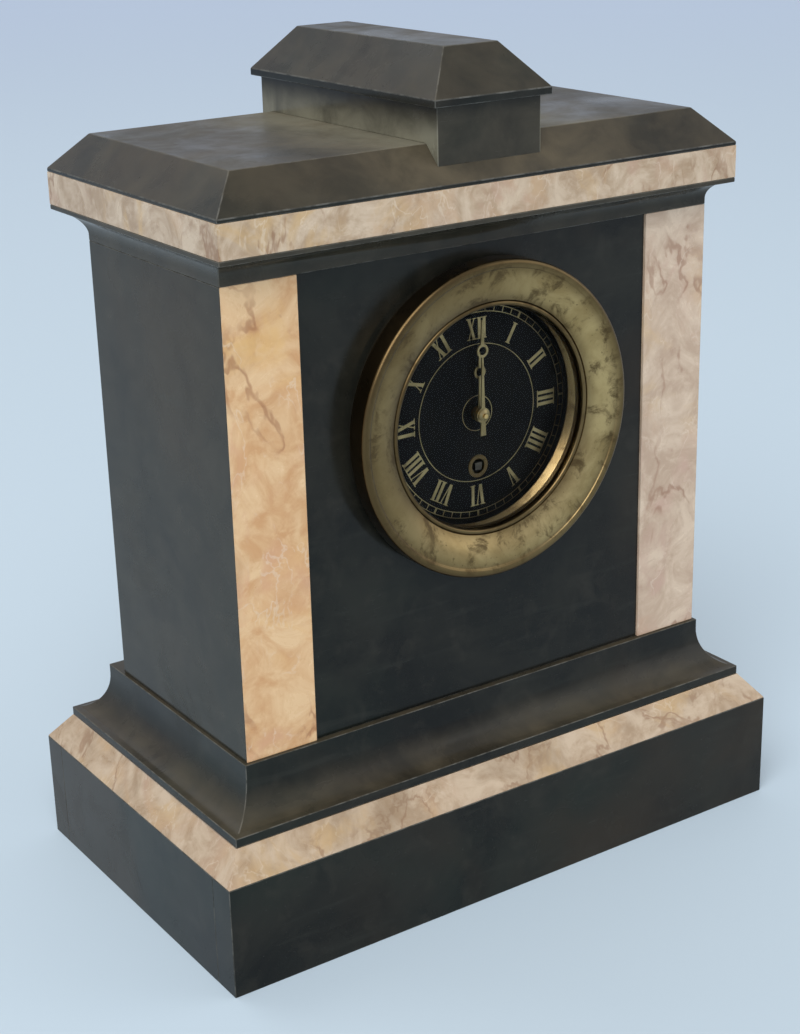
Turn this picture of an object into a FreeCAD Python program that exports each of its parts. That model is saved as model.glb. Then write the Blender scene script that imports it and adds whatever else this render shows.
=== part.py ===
import FreeCAD, Part
import math
import os

V = FreeCAD.Vector

# Case, overall
base_width = 294.0
base_depth = 172.0
plinth_height = 50.0
plinth_slab = 14.0
base_band_rise = 12.0
base_band_inset = 9.5
band_width = 22.0
foot_rise = 27.0
foot_fillet = 4.0
foot_top_fillet = 4.5
foot_ledge = 1.5
body_inset = 25.0
body_rear_inset = 36.0
slab = 10.0
pilaster_share = 0.63
panel_recess = 1.2
cornice_side_reach = 6.0
cornice_front_reach = 12.0
cornice_bed_height = 12.5
cornice_neck = 2.5
cornice_lip = 2.0
cornice_band_height = 14.0
roof_height = 16.0
roof_lip = 1.5
roof_inset = 14.0
top_block_width = 51.0
top_block_inset = 6.0
top_block_height = 15.0
lid_side_overhang = 3.25
lid_end_overhang = 3.5
lid_edge = 3.0
lid_rise = 18.0
lid_inset = 15.5
bezel_top_gap = 5.5
bezel_foot_gap = 57.0

# Round brass frame of the dial, its bezel and glass. Radii are counted from the sight of the glass.
sight_radius = 48.0
seat_dial_clearance = 0.2
seat_wall = 2.5
seat_ledge_width = 1.5
seat_plate_width = 5.0
seat_plate_thickness = 1.5
seat_flange_inset = 2.0
seat_flange_thickness = 2.5
panel_hole_clearance = 0.5
bezel_width = 20.0
bezel_foot_inset = 0.6
bezel_height = 10.4
bezel_crown_inset = 1.8
bezel_crown_round = 1.6
bezel_slope_swell = 0.8
bezel_bore_step = 3.4
bezel_groove_land = 2.6
bezel_groove_wall = 3.0
bezel_groove_depth = 3.8
bezel_gap = 0.1
bezel_lip = 1.2
bezel_lip_drop = 5.2
bezel_shoulder = 1.0
bezel_lip_slope = 0.6
glass_cover = 2.6
glass_thickness = 1.6
glass_ring_cover = 0.6
glass_ring_thickness = 1.3

# Dial, its bevelled slip and its winding hole
dial_cover = 3.8
dial_thickness = 1.2
dial_setback = 3.5
dial_hole_radius = 3.2
slip_cover = 0.8
slip_depth = 3.6
slip_foot = 0.5
winding_hole_radius = 4.2
grommet_bore = 3.3
grommet_flange = 5.0
grommet_flange_thickness = 0.4
dial_foot_radius = 1.2
dial_foot_circle = 36.0
dial_foot_angles = (100.0, 215.0, 325.0)

# Hinges of the bezel and of the rear door
hinge_reach = 3.8
knuckle_radius = 1.6
knuckle_clearance = 0.1
hinge_pin_radius = 0.8
hinge_half_length = 10.0
hinge_middle_half = 3.9
hinge_gap = 0.15
pin_head_radius = 1.2
pin_head_height = 0.6

# Rear ring, rear door, and the straps that hold the movement
rear_hole_radius = 54.0
rear_flange_radius = 60.0
rear_flange_thickness = 2.2
rear_bore_radius = 43.0
rear_spigot_outer = 53.5
rear_spigot_wall = 2.0
rear_spigot_length = 6.0
rear_door_radius = 45.0
rear_door_thickness = 1.2
rear_door_gap = 0.1
rear_hinge_reach = 3.6
knob_circle = 38.0
knob_radius = 3.2
knob_neck_radius = 1.5
knob_length = 8.0
knob_neck = 2.6
strap_angle = 20.0
strap_width = 8.0
strap_thickness = 2.0
strap_inner_radius = 52.2
strap_foot_reach = 46.0
strap_screw_circle = 48.5
strap_rear_setback = 12.0
strap_screw_radius = 1.5
strap_screw_head = 2.5
strap_screw_head_height = 1.6
strap_screw_overhang = 3.0
screw_slot = 0.9

# Movement plates and pillars
plate_radius = 45.0
plate_thickness = 2.0
plate_setback = 12.0
pillar_length = 34.0
pillar_radius = 2.8
pillar_waist_radius = 2.0
pillar_shoulder = 5.0
pillar_circle = 40.0
pillar_angles = (45.0, 135.0, 205.0, 335.0)
pillar_pivot_radius = 1.3
nut_radius = 2.4
nut_thickness = 1.8
plate_screw_circle = 42.7
plate_screw_angles = (90.0, 180.0, 300.0)
plate_screw_radius = 0.9
plate_screw_head = 1.8
plate_screw_head_height = 1.0
running_clearance = 0.05
seat_clearance = 0.02

# Tooth forms, as shares of the module or of the tooth pitch
wheel_tooth_share = 0.42
wheel_addendum_share = 1.25
wheel_dedendum_share = 1.2
leaf_tooth_share = 0.32
leaf_addendum_share = 0.75
leaf_dedendum_share = 1.62
shoulder_height_share = 0.55
shoulder_width_share = 0.74
tip_width_share = 0.25

# Going train
barrel_teeth = 84
barrel_module = 0.46
intermediate_leaves = 14
intermediate_teeth = 72
intermediate_module = 0.40
centre_leaves = 12
centre_teeth = 84
centre_module = 0.34
third_leaves = 7
third_teeth = 77
third_module = 0.30
escape_leaves = 7
escape_teeth = 40
escape_radius = 11.0
escape_tooth_depth = 1.9
escape_phase_share = 0.25
escape_heel_share = 0.28
escape_toe_share = 0.16
escape_tip_share = 0.035
barrel_drop = 23.5
anchor_rise = 36.0
wheel_thickness = 1.2
fine_wheel_thickness = 1.0
wheel_rim = 1.9
fine_wheel_rim = 1.3
spoke_width = 1.6
spoke_count = 5
fine_spoke_count = 4
hub_radius = 3.0
fine_hub_radius = 2.2
arbor_radius = 1.1
fine_arbor_radius = 0.5
pivot_radius = 0.7
fine_pivot_radius = 0.4
arbor_shake = 0.3

# Distances from the front plate's inner face, along the train
barrel_level = 3.0
barrel_height = 18.0
barrel_tooth_width = 2.0
intermediate_pinion_level = 2.2
intermediate_pinion_width = 3.6
intermediate_wheel_level = 23.5
centre_pinion_level = 22.2
centre_pinion_width = 4.0
centre_wheel_level = 28.6
third_pinion_level = 27.4
third_pinion_width = 3.6
third_wheel_level = 9.0
escape_pinion_level = 7.6
escape_pinion_width = 3.8
escape_wheel_level = 15.0
anchor_level = 14.6

# Barrel, its cap, mainspring, arbor, ratchet wheel and click
drum_radius = 18.2
drum_wall = 1.0
drum_floor = 1.4
cap_thickness = 1.2
cap_inset = 0.2
cap_clearance = 0.02
spring_thickness = 0.5
spring_turns = 11
spring_end_gap = 0.5
spring_wall_gap = 0.02
barrel_hub_radius = 4.0
barrel_shoulder_radius = 3.0
barrel_front_pivot = 2.4
barrel_rear_pivot = 1.6
winding_square = 3.3
winding_square_overhang = 0.6
ratchet_teeth = 24
ratchet_radius = 8.3
ratchet_tooth_depth = 1.0
ratchet_thickness = 1.6
ratchet_gap = 0.5
click_distance = 12.6
click_angle = 160.0
click_hub_radius = 2.0
click_stud_radius = 0.9
click_stud_head = 1.6
click_stud_head_height = 0.8
click_nose_angle = 120.0
click_nose_gap = 0.2
click_heel_gap = 0.25
click_nose_share = 0.5
ratchet_crest_share = 0.12
click_width = 2.2
click_spring_thickness = 0.5
click_spring_width = 1.2
click_spring_foot = 2.4
click_spring_reach = 11.0
click_spring_gap = 0.08

# Escapement, back cock and suspension
pallet_span_teeth = 10.5
pallet_gap = 0.15
pallet_thickness = 0.4
pallet_length = 2.4
pallet_back = 1.6
anchor_thickness = 1.8
anchor_hub_radius = 2.4
anchor_arm_width = 2.2
anchor_hole_radius = 3.4
crutch_setback = 1.5
crutch_thickness = 1.0
crutch_width = 2.4
crutch_length = 27.0
crutch_hub_radius = 2.2
crutch_fork_half = 2.6
crutch_fork_clearance = 0.15
crutch_fork_overhang = 1.6
cock_stand_off = 4.8
cock_thickness = 1.5
cock_half_width = 13.5
cock_half_height = 5.0
cock_post_spread = 11.0
cock_post_radius = 2.3
cock_screw_radius = 1.1
cock_screw_head = 2.0
cock_screw_head_height = 1.2
cheek_width = 2.2
cheek_half_height = 3.2
cheek_overhang = 2.8
chop_half_thickness = 0.9
chop_half_width = 2.6
chop_height = 4.0
chop_clearance = 0.25
suspension_strip_length = 10.0
suspension_strip_half_thickness = 0.1
suspension_pin_radius = 0.6
suspension_pin_clearance = 0.1

# Pendulum
pendulum_setback = 12.0
pendulum_floor_gap = 19.0
rod_radius = 1.0
stirrup_half_width = 2.1
stirrup_height = 6.5
stirrup_overlap = 3.5
stirrup_clearance = 0.05
bob_radius = 17.0
bob_thickness = 11.0
bob_edge = 2.0
bob_hole_clearance = 0.05
rod_tail = 9.0
rating_nut_radius = 4.0
rating_nut_height = 3.6
rating_nut_gap = 0.05
rating_nut_grooves = 12
rating_nut_groove = 0.4

# Motion work and hands
motion_distance = 12.0
cannon_leaves = 12
minute_wheel_teeth = 36
minute_leaves = 10
hour_wheel_teeth = 40
motion_angle = 180.0
motion_gap = 1.6
motion_wheel_thickness = 1.0
motion_wheel_step = 2.2
cannon_pipe_radius = 1.6
hour_pipe_clearance = 0.08
hour_pipe_wall = 0.7
minute_stud_radius = 0.9
minute_stud_overhang = 1.0
minute_hub_radius = 2.0
hand_thickness = 0.7
hour_hand_gap = 1.7
hand_spacing = 1.4
hour_hand_length = 27.0
minute_hand_length = 41.0
hand_boss_radius = 3.3
hand_stem_width = 2.0
hand_ring_outer = 2.9
hand_ring_inner = 1.8
hand_ring_share = 0.68
hand_tip_width = 0.7
hand_tail = 9.0
hand_tail_width = 2.8
minute_square = 2.2
collet_radius = 2.6
collet_thickness = 1.1
collet_edge = 0.4
arbor_end = 0.9
arbor_front_radius = 1.0

# One overrun for all cuts, and the steps of a curved stretch
overrun = 1.0
curve_steps = 8

# Planes and heights that follow from the sizes above
half_x = base_width / 2
half_y = base_depth / 2
band_top = plinth_height + base_band_rise
foot_top = band_top + foot_rise
bezel_radius = sight_radius + bezel_width
bezel_foot_radius = bezel_radius - bezel_foot_inset
bezel_crown_radius = bezel_radius - bezel_crown_inset
bezel_bore_radius = sight_radius + bezel_bore_step
bezel_groove_inner = bezel_bore_radius + bezel_groove_land
bezel_groove_outer = bezel_radius - bezel_groove_wall
glass_radius = sight_radius + glass_cover
glass_ring_bore = sight_radius - glass_ring_cover
dial_radius = sight_radius + dial_cover
slip_bore_radius = sight_radius + slip_cover
seat_bore_radius = dial_radius + seat_dial_clearance
seat_outer_radius = seat_bore_radius + seat_wall
seat_ledge_radius = seat_bore_radius - seat_ledge_width
seat_plate_bore = plate_radius - seat_plate_width
seat_flange_radius = bezel_radius - seat_flange_inset
dial_height = foot_top + bezel_foot_gap + bezel_radius
body_top = dial_height + bezel_radius + bezel_top_gap
body_half_x = half_x - body_inset
pilaster_width = (body_half_x - bezel_radius) * pilaster_share
body_front = -(half_y - body_inset)
body_back = half_y - body_rear_inset
panel_front = body_front + panel_recess
cornice_half_x = body_half_x + cornice_side_reach
cornice_half_y = cornice_front_reach - body_front
cornice_bed_top = body_top + cornice_bed_height
cornice_band_top = cornice_bed_top + cornice_band_height
roof_top = cornice_band_top + roof_height
block_top = roof_top + top_block_height
top_block_length = 2 * (cornice_half_y - top_block_inset)
lid_width = top_block_width + 2 * lid_side_overhang
lid_length = top_block_length + 2 * lid_end_overhang
centre = (0, dial_height)

flange_front = panel_front - seat_flange_thickness
bezel_back = flange_front - bezel_gap
bezel_crown = bezel_back - bezel_height
glass_front = bezel_crown + bezel_lip_drop + bezel_lip
glass_back = glass_front + glass_thickness
dial_front = panel_front + dial_setback - bezel_gap
dial_back = dial_front + dial_thickness
plate_front = panel_front + plate_setback
plate_inner = plate_front + plate_thickness
rear_plate_inner = plate_inner + pillar_length
rear_plate_back = rear_plate_inner + plate_thickness
pendulum_y = rear_plate_back + pendulum_setback
rear_flange_back = body_back + rear_flange_thickness


def polar(at, radius, degrees):
    """A point at a radius and an angle, counted from +X towards +Z, round a centre in the XZ plane."""
    turn = math.radians(degrees)
    return (at[0] + radius * math.cos(turn), at[1] + radius * math.sin(turn))


def two_circle_point(first, first_radius, second, second_radius, side):
    """Where two circles in the XZ plane cross, on the side of the line between them that side gives."""
    dx = second[0] - first[0]
    dz = second[1] - first[1]
    apart = math.hypot(dx, dz)
    along = (first_radius ** 2 - second_radius ** 2 + apart ** 2) / (2 * apart)
    across = side * math.sqrt(first_radius ** 2 - along ** 2)
    return (
        first[0] + (along * dx - across * dz) / apart,
        first[1] + (along * dz + across * dx) / apart,
    )


def angle_between(start, end):
    """The angle in degrees of the line from one centre to another, from +X towards +Z."""
    return math.degrees(math.atan2(end[1] - start[1], end[0] - start[0]))


barrel_centre = (centre[0], centre[1] - barrel_drop)
anchor_centre = (centre[0], centre[1] + anchor_rise)
bob_centre_height = foot_top + pendulum_floor_gap + rod_tail + bob_radius
half_span = math.pi * pallet_span_teeth / escape_teeth
escape_centre = (centre[0], anchor_centre[1] - escape_radius / math.cos(half_span))
barrel_to_intermediate = (barrel_teeth + intermediate_leaves) * barrel_module / 2
intermediate_to_centre = (intermediate_teeth + centre_leaves) * intermediate_module / 2
centre_to_third = (centre_teeth + third_leaves) * centre_module / 2
third_to_escape = (third_teeth + escape_leaves) * third_module / 2
intermediate_centre = two_circle_point(
    centre, intermediate_to_centre, barrel_centre, barrel_to_intermediate, 1
)
third_centre = two_circle_point(centre, centre_to_third, escape_centre, third_to_escape, 1)
minute_centre = polar(centre, motion_distance, motion_angle)


def block(x0, x1, y0, y1, z0, z1):
    return Part.makeBox(x1 - x0, y1 - y0, z1 - z0, V(x0, y0, z0))


def rod_y(at, radius, y0, y1):
    return Part.makeCylinder(radius, y1 - y0, V(at[0], y0, at[1]), V(0, 1, 0))


def rod_z(x, y, radius, z0, z1):
    return Part.makeCylinder(radius, z1 - z0, V(x, y, z0), V(0, 0, 1))


def rod_x(y, z, radius, x0, x1):
    return Part.makeCylinder(radius, x1 - x0, V(x0, y, z), V(1, 0, 0))


def drilled(shape, at, radius, y0, y1):
    """A shape with a round hole along Y, right through between two planes."""
    return shape.cut(rod_y(at, radius, y0 - overrun, y1 + overrun))


def ring_y(at, outer, inner, y0, y1):
    return drilled(rod_y(at, outer, y0, y1), at, inner, y0, y1)


def joined(shapes):
    return shapes[0].multiFuse(shapes[1:]).removeSplitter()


def turned(shape, at, degrees):
    """A copy of a shape, turned counter-clockwise as the front shows it, round an axis along Y."""
    copy = shape.copy()
    copy.rotate(V(at[0], 0, at[1]), V(0, 1, 0), -degrees)
    return copy


def face_of(stretches, place):
    """A face inside a closed outline. A stretch of two points is straight, a longer one a smooth curve."""
    edges = []
    for stretch in stretches:
        points = [place(a, b) for a, b in stretch]
        if len(points) == 2:
            edges.append(Part.LineSegment(points[0], points[1]).toShape())
        else:
            curve = Part.BSplineCurve()
            curve.interpolate(points)
            edges.append(curve.toShape())
    return Part.Face(Part.Wire(edges))


def straight(points):
    """The straight stretches of a closed polygon."""
    return [[points[i - 1], points[i]] for i in range(len(points))]


def prism_y(points, y0, y1):
    """A polygon in the XZ plane, drawn out along Y."""
    face = face_of(straight(points), lambda x, z: V(x, y0, z))
    return face.extrude(V(0, y1 - y0, 0))


def spun(at, stretches):
    """A solid of revolution about an axis along Y. Its outline is in radius and Y."""
    face = face_of(stretches, lambda radius, y: V(at[0] + radius, y, at[1]))
    return face.revolve(V(at[0], 0, at[1]), V(0, 1, 0), 360)


def save(name, shapes):
    solids = [solid for shape in shapes for solid in shape.Solids]
    whole = solids[0] if len(solids) == 1 else Part.makeCompound(solids)
    whole.exportStep("parts/" + name + ".step")


def quarter_curve(start, end, hollow_first):
    """Points of a quarter ellipse between two corners, which leaves the start along one axis."""
    points = []
    for step in range(curve_steps + 1):
        turn = math.pi / 2 * step / curve_steps
        quick = math.sin(turn)
        slow = 1 - math.cos(turn)
        first, second = (quick, slow) if hollow_first else (slow, quick)
        points.append(
            (start[0] + (end[0] - start[0]) * first, start[1] + (end[1] - start[1]) * second)
        )
    return points


def moulded_slab(lower, upper, stretches):
    """A slab whose four sides follow one moulding between a lower and an upper rectangle."""
    tiers = []
    for stretch in stretches:
        rings = []
        for share, z in stretch:
            x0, x1, y0, y1 = [low + (high - low) * share for low, high in zip(lower, upper)]
            corners = [V(x0, y0, z), V(x1, y0, z), V(x1, y1, z), V(x0, y1, z)]
            rings.append(Part.makePolygon(corners + corners[:1]))
        tiers.append(Part.makeLoft(rings, True, len(rings) == 2))
    return joined(tiers)


def mitred_strips(reach_x, reach_y, profile):
    """Four strips round a rectangle, mitred at its corners. The profile is in depth and Z."""
    strips = []
    for turn in range(4):
        along, across = (reach_x, reach_y) if turn % 2 == 0 else (reach_y, reach_x)
        face = face_of(straight(profile), lambda depth, z: V(-along, -across + depth, z))
        strip = face.extrude(V(2 * along, 0, 0))
        low = min(z for _, z in profile) - overrun
        high = max(z for _, z in profile) + overrun
        corners = [(-along, -across), (along, -across), (along - band_width, band_width - across)]
        corners.append((band_width - along, band_width - across))
        wedge = face_of(straight(corners), lambda x, y: V(x, y, low)).extrude(V(0, 0, high - low))
        strip = strip.common(wedge)
        strip.rotate(V(0, 0, 0), V(0, 0, 1), turn * 90)
        strips.append(strip)
    return strips


# Slate base
def plinth_slabs():
    front = block(-half_x, half_x, -half_y, -half_y + plinth_slab, 0, plinth_height)
    back = block(-half_x, half_x, half_y - plinth_slab, half_y, 0, plinth_height)
    inner_y = half_y - plinth_slab
    left = block(-half_x, -half_x + plinth_slab, -inner_y, inner_y, 0, plinth_height)
    right = block(half_x - plinth_slab, half_x, -inner_y, inner_y, 0, plinth_height)
    save("plinth_front_slab", [front])
    save("plinth_back_slab", [back])
    save("plinth_side_slabs", [left, right])


def base_marble_band():
    profile = [(0, plinth_height), (band_width, plinth_height), (band_width, band_top)]
    profile.append((base_band_inset, band_top))
    save("base_marble_band", mitred_strips(half_x, half_y, profile))


def foot_moulding():
    core = block(
        -half_x + band_width,
        half_x - band_width,
        -half_y + band_width,
        half_y - band_width,
        plinth_height,
        band_top,
    )
    reach_x = half_x - base_band_inset
    reach_y = half_y - base_band_inset
    top_x = body_half_x + foot_ledge
    top_y = -body_front + foot_ledge
    hollow_start = band_top + foot_fillet
    hollow_end = foot_top - foot_top_fillet
    stretches = [
        [(0, band_top), (0, hollow_start)],
        quarter_curve((0, hollow_start), (1, hollow_end), True),
        [(1, hollow_end), (1, foot_top)],
    ]
    lower = (-reach_x, reach_x, -reach_y, reach_y)
    upper = (-top_x, top_x, -top_y, top_y)
    save("foot_moulding", [joined([core, moulded_slab(lower, upper, stretches)])])


# Slate body and its marble pilasters
def upright(points):
    """A slab standing on the foot moulding, from its plan."""
    face = face_of(straight(points), lambda x, y: V(x, y, foot_top))
    return face.extrude(V(0, 0, body_top - foot_top))


def body_slabs():
    inner_x = body_half_x - slab
    edge_x = body_half_x - pilaster_width
    front_back = body_front + slab
    front = block(-edge_x, edge_x, panel_front, front_back, foot_top, body_top)
    hole = seat_outer_radius + panel_hole_clearance
    save("front_panel", [drilled(front, centre, hole, panel_front, front_back)])
    back = block(-inner_x, inner_x, body_back - slab, body_back, foot_top, body_top)
    save("back_panel", [drilled(back, centre, rear_hole_radius, body_back - slab, body_back)])
    for name, side in (("left", -1), ("right", 1)):
        wall = [
            (side * body_half_x, body_front),
            (side * inner_x, front_back),
            (side * inner_x, body_back),
            (side * body_half_x, body_back),
        ]
        save(name + "_panel", [upright(wall)])
        pilaster = [
            (side * body_half_x, body_front),
            (side * edge_x, body_front),
            (side * edge_x, front_back),
            (side * inner_x, front_back),
        ]
        save("pilaster_" + name, [upright(pilaster)])


# Cornice, roof and top block
def cornice():
    neck_top = body_top + cornice_neck
    lip_start = cornice_bed_top - cornice_lip
    stretches = [
        [(0, body_top), (0, neck_top)],
        quarter_curve((0, neck_top), (1, lip_start), False),
        [(1, lip_start), (1, cornice_bed_top)],
    ]
    lower = (-body_half_x, body_half_x, body_front, body_back)
    upper = (-cornice_half_x, cornice_half_x, -cornice_half_y, cornice_half_y)
    save("cornice_moulding", [moulded_slab(lower, upper, stretches)])
    profile = [(0, cornice_bed_top), (band_width, cornice_bed_top)]
    profile += [(band_width, cornice_band_top), (0, cornice_band_top)]
    save("cornice_marble_band", mitred_strips(cornice_half_x, cornice_half_y, profile))


def roof():
    core = block(
        -cornice_half_x + band_width,
        cornice_half_x - band_width,
        -cornice_half_y + band_width,
        cornice_half_y - band_width,
        cornice_bed_top,
        cornice_band_top,
    )
    lip_top = cornice_band_top + roof_lip
    stretches = [
        [(0, cornice_band_top), (0, lip_top)],
        [(0, lip_top), (1, roof_top)],
    ]
    top_x = cornice_half_x - roof_inset
    top_y = cornice_half_y - roof_inset
    lower = (-cornice_half_x, cornice_half_x, -cornice_half_y, cornice_half_y)
    upper = (-top_x, top_x, -top_y, top_y)
    slope = moulded_slab(lower, upper, stretches)
    save("roof_slab", [joined([core, slope])])
    low = cornice_band_top + roof_lip
    half_w = top_block_width / 2
    half_l = top_block_length / 2
    body = block(-half_w, half_w, -half_l, half_l, low, block_top)
    save("top_block", [body.cut(slope)])


def top_block_lid():
    edge_top = block_top + lid_edge
    lid_top = edge_top + lid_rise
    half_w = lid_width / 2
    half_l = lid_length / 2
    stretches = [
        [(0, block_top), (0, edge_top)],
        [(0, edge_top), (1, lid_top)],
    ]
    lower = (-half_w, half_w, -half_l, half_l)
    upper = (lid_inset - half_w, half_w - lid_inset, lid_inset - half_l, half_l - lid_inset)
    save("top_block_lid", [moulded_slab(lower, upper, stretches)])


# Hinges
def knuckles(x, y, radius, spans):
    """Lengths of hinge tube along Z, and the bore for their pin."""
    tubes = [rod_z(x, y, radius, dial_height + low, dial_height + high) for low, high in spans]
    reach = hinge_half_length + overrun
    bore = hinge_pin_radius + running_clearance
    return tubes, rod_z(x, y, bore, dial_height - reach, dial_height + reach)


outer_spans = (
    (-hinge_half_length, -hinge_middle_half - hinge_gap),
    (hinge_middle_half + hinge_gap, hinge_half_length),
)
inner_spans = ((-hinge_middle_half, hinge_middle_half),)


def hinge_pin(x, y):
    """A pin with a rounded-off head at each end."""
    low = dial_height - hinge_half_length
    high = dial_height + hinge_half_length
    pin = rod_z(x, y, hinge_pin_radius, low, high)
    foot = rod_z(x, y, pin_head_radius, low - pin_head_height, low)
    head = rod_z(x, y, pin_head_radius, high, high + pin_head_height)
    return joined([pin, foot, head])


# Brass seat of the dial, bezel and glass
bezel_hinge_x = seat_flange_radius + hinge_reach
bezel_hinge_y = flange_front - knuckle_radius


def bezel_seat():
    tube = spun(
        centre,
        straight(
            [
                (seat_flange_radius, panel_front),
                (seat_flange_radius, flange_front),
                (seat_bore_radius, flange_front),
                (seat_bore_radius, dial_back),
                (seat_ledge_radius, dial_back),
                (seat_ledge_radius, plate_front - seat_plate_thickness),
                (seat_plate_bore, plate_front - seat_plate_thickness),
                (seat_plate_bore, plate_front),
                (seat_outer_radius, plate_front),
                (seat_outer_radius, panel_front),
            ]
        ),
    )
    pieces = [tube]
    tubes, bore = knuckles(bezel_hinge_x, bezel_hinge_y, knuckle_radius, outer_spans)
    for tube_piece, (low, high) in zip(tubes, outer_spans):
        leaf = block(
            seat_flange_radius - hinge_reach,
            bezel_hinge_x,
            flange_front,
            panel_front,
            dial_height + low,
            dial_height + high,
        )
        web = block(
            bezel_hinge_x - knuckle_radius,
            bezel_hinge_x,
            bezel_hinge_y,
            panel_front,
            dial_height + low,
            dial_height + high,
        )
        pieces += [leaf, web, tube_piece]
    seat = joined(pieces).cut(bore)
    rear_face = plate_front - seat_plate_thickness
    for at in plate_screw_places():
        seat = drilled(seat, at, plate_screw_radius + seat_clearance, rear_face, plate_front)
    for at in strap_places():
        seat = drilled(seat, at, strap_screw_radius + seat_clearance, rear_face, plate_front)
    save("bezel_seat_ring", [seat])


def plate_screw_places():
    return [polar(centre, plate_screw_circle, angle) for angle in plate_screw_angles]


def bezel():
    """A ring with an upright wall, a rounded crown and a slope down to the glass, hollow behind."""
    lip_front = bezel_crown + bezel_lip_drop
    groove_front = bezel_back - bezel_groove_depth
    foot = (bezel_foot_radius, bezel_back)
    wall_low = (bezel_radius, bezel_back - bezel_shoulder)
    wall_high = (bezel_radius, bezel_crown + bezel_crown_round)
    crown = (bezel_crown_radius, bezel_crown)
    slope_end = (sight_radius + bezel_lip, lip_front - bezel_lip_slope)
    slope_middle = (
        (crown[0] + slope_end[0]) / 2,
        (crown[1] + slope_end[1]) / 2 - bezel_slope_swell,
    )
    loop = [
        [foot, wall_low],
        [wall_low, wall_high],
        quarter_curve(wall_high, crown, False),
        [crown, slope_middle, slope_end],
        [slope_end, (sight_radius, lip_front)],
        [(sight_radius, lip_front), (sight_radius, glass_front)],
        [(sight_radius, glass_front), (bezel_bore_radius, glass_front)],
        [(bezel_bore_radius, glass_front), (bezel_bore_radius, bezel_back)],
        [(bezel_bore_radius, bezel_back), (bezel_groove_inner, bezel_back)],
        [(bezel_groove_inner, bezel_back), (bezel_groove_inner, groove_front)],
        [(bezel_groove_inner, groove_front), (bezel_groove_outer, groove_front)],
        [(bezel_groove_outer, groove_front), (bezel_groove_outer, bezel_back)],
        [(bezel_groove_outer, bezel_back), foot],
    ]
    ring = spun(centre, loop)
    moving = knuckle_radius - knuckle_clearance
    tubes, bore = knuckles(bezel_hinge_x, bezel_hinge_y, moving, inner_spans)
    leaf = block(
        bezel_foot_radius - knuckle_radius,
        bezel_hinge_x,
        bezel_hinge_y - moving,
        bezel_hinge_y,
        dial_height - hinge_middle_half,
        dial_height + hinge_middle_half,
    )
    save("bezel", [joined([ring, leaf] + tubes).cut(bore)])
    save("bezel_hinge_pin", [hinge_pin(bezel_hinge_x, bezel_hinge_y)])


def glass():
    edge = glass_thickness / 2
    sheet = spun(
        centre,
        straight(
            [
                (0, glass_front),
                (glass_radius - edge, glass_front),
                (glass_radius, glass_front + edge),
                (glass_radius, glass_back),
                (0, glass_back),
            ]
        ),
    )
    save("bezel_glass", [sheet])
    ring_back = glass_back + glass_ring_thickness
    ring = spun(
        centre,
        straight(
            [
                (glass_ring_bore, ring_back),
                (bezel_bore_radius, ring_back),
                (bezel_bore_radius, glass_back),
                (sight_radius, glass_back),
            ]
        ),
    )
    save("glass_retaining_ring", [ring])


# Dial
def dial():
    plate = ring_y(centre, dial_radius, dial_hole_radius, dial_front, dial_back)
    plate = drilled(plate, barrel_centre, winding_hole_radius, dial_front, dial_back)
    feet = []
    for angle in dial_foot_angles:
        at = polar(centre, dial_foot_circle, angle)
        feet.append(rod_y(at, dial_foot_radius, dial_back, plate_front))
    save("dial", [joined([plate] + feet)])
    slip = spun(
        centre,
        straight(
            [
                (slip_bore_radius, dial_front),
                (dial_radius, dial_front),
                (dial_radius, dial_front - slip_depth),
                (dial_radius - slip_foot, dial_front - slip_depth),
                (slip_bore_radius, dial_front - slip_foot),
            ]
        ),
    )
    save("dial_slip_ring", [slip])
    flange = dial_front - grommet_flange_thickness
    bush = rod_y(barrel_centre, winding_hole_radius - seat_clearance, dial_front, dial_back)
    bush = joined([bush, rod_y(barrel_centre, grommet_flange, flange, dial_front)])
    save("winding_hole_grommet", [drilled(bush, barrel_centre, grommet_bore, flange, dial_back)])


# Rear ring and door
rear_hinge_x = -(rear_door_radius + rear_hinge_reach)
rear_hinge_y = rear_flange_back + knuckle_radius


def strap_places():
    return [polar(centre, strap_screw_circle, angle) for angle in (strap_angle, 180 - strap_angle)]


def rear_ring():
    spigot_inner = rear_spigot_outer - rear_spigot_wall
    tube = spun(
        centre,
        straight(
            [
                (rear_bore_radius, rear_flange_back),
                (rear_flange_radius, rear_flange_back),
                (rear_flange_radius, body_back),
                (rear_spigot_outer, body_back),
                (rear_spigot_outer, body_back - rear_spigot_length),
                (spigot_inner, body_back - rear_spigot_length),
                (spigot_inner, body_back),
                (rear_bore_radius, body_back),
            ]
        ),
    )
    pieces = [tube]
    tubes, bore = knuckles(rear_hinge_x, rear_hinge_y, knuckle_radius, outer_spans)
    for tube_piece, (low, high) in zip(tubes, outer_spans):
        web = block(
            rear_hinge_x - knuckle_radius,
            rear_hinge_x,
            body_back,
            rear_hinge_y,
            dial_height + low,
            dial_height + high,
        )
        pieces += [web, tube_piece]
    ring = joined(pieces).cut(bore)
    for at in strap_places():
        ring = drilled(ring, at, strap_screw_radius + seat_clearance, body_back, rear_flange_back)
    save("rear_ring", [ring])
    save("rear_hinge_pin", [hinge_pin(rear_hinge_x, rear_hinge_y)])


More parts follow.
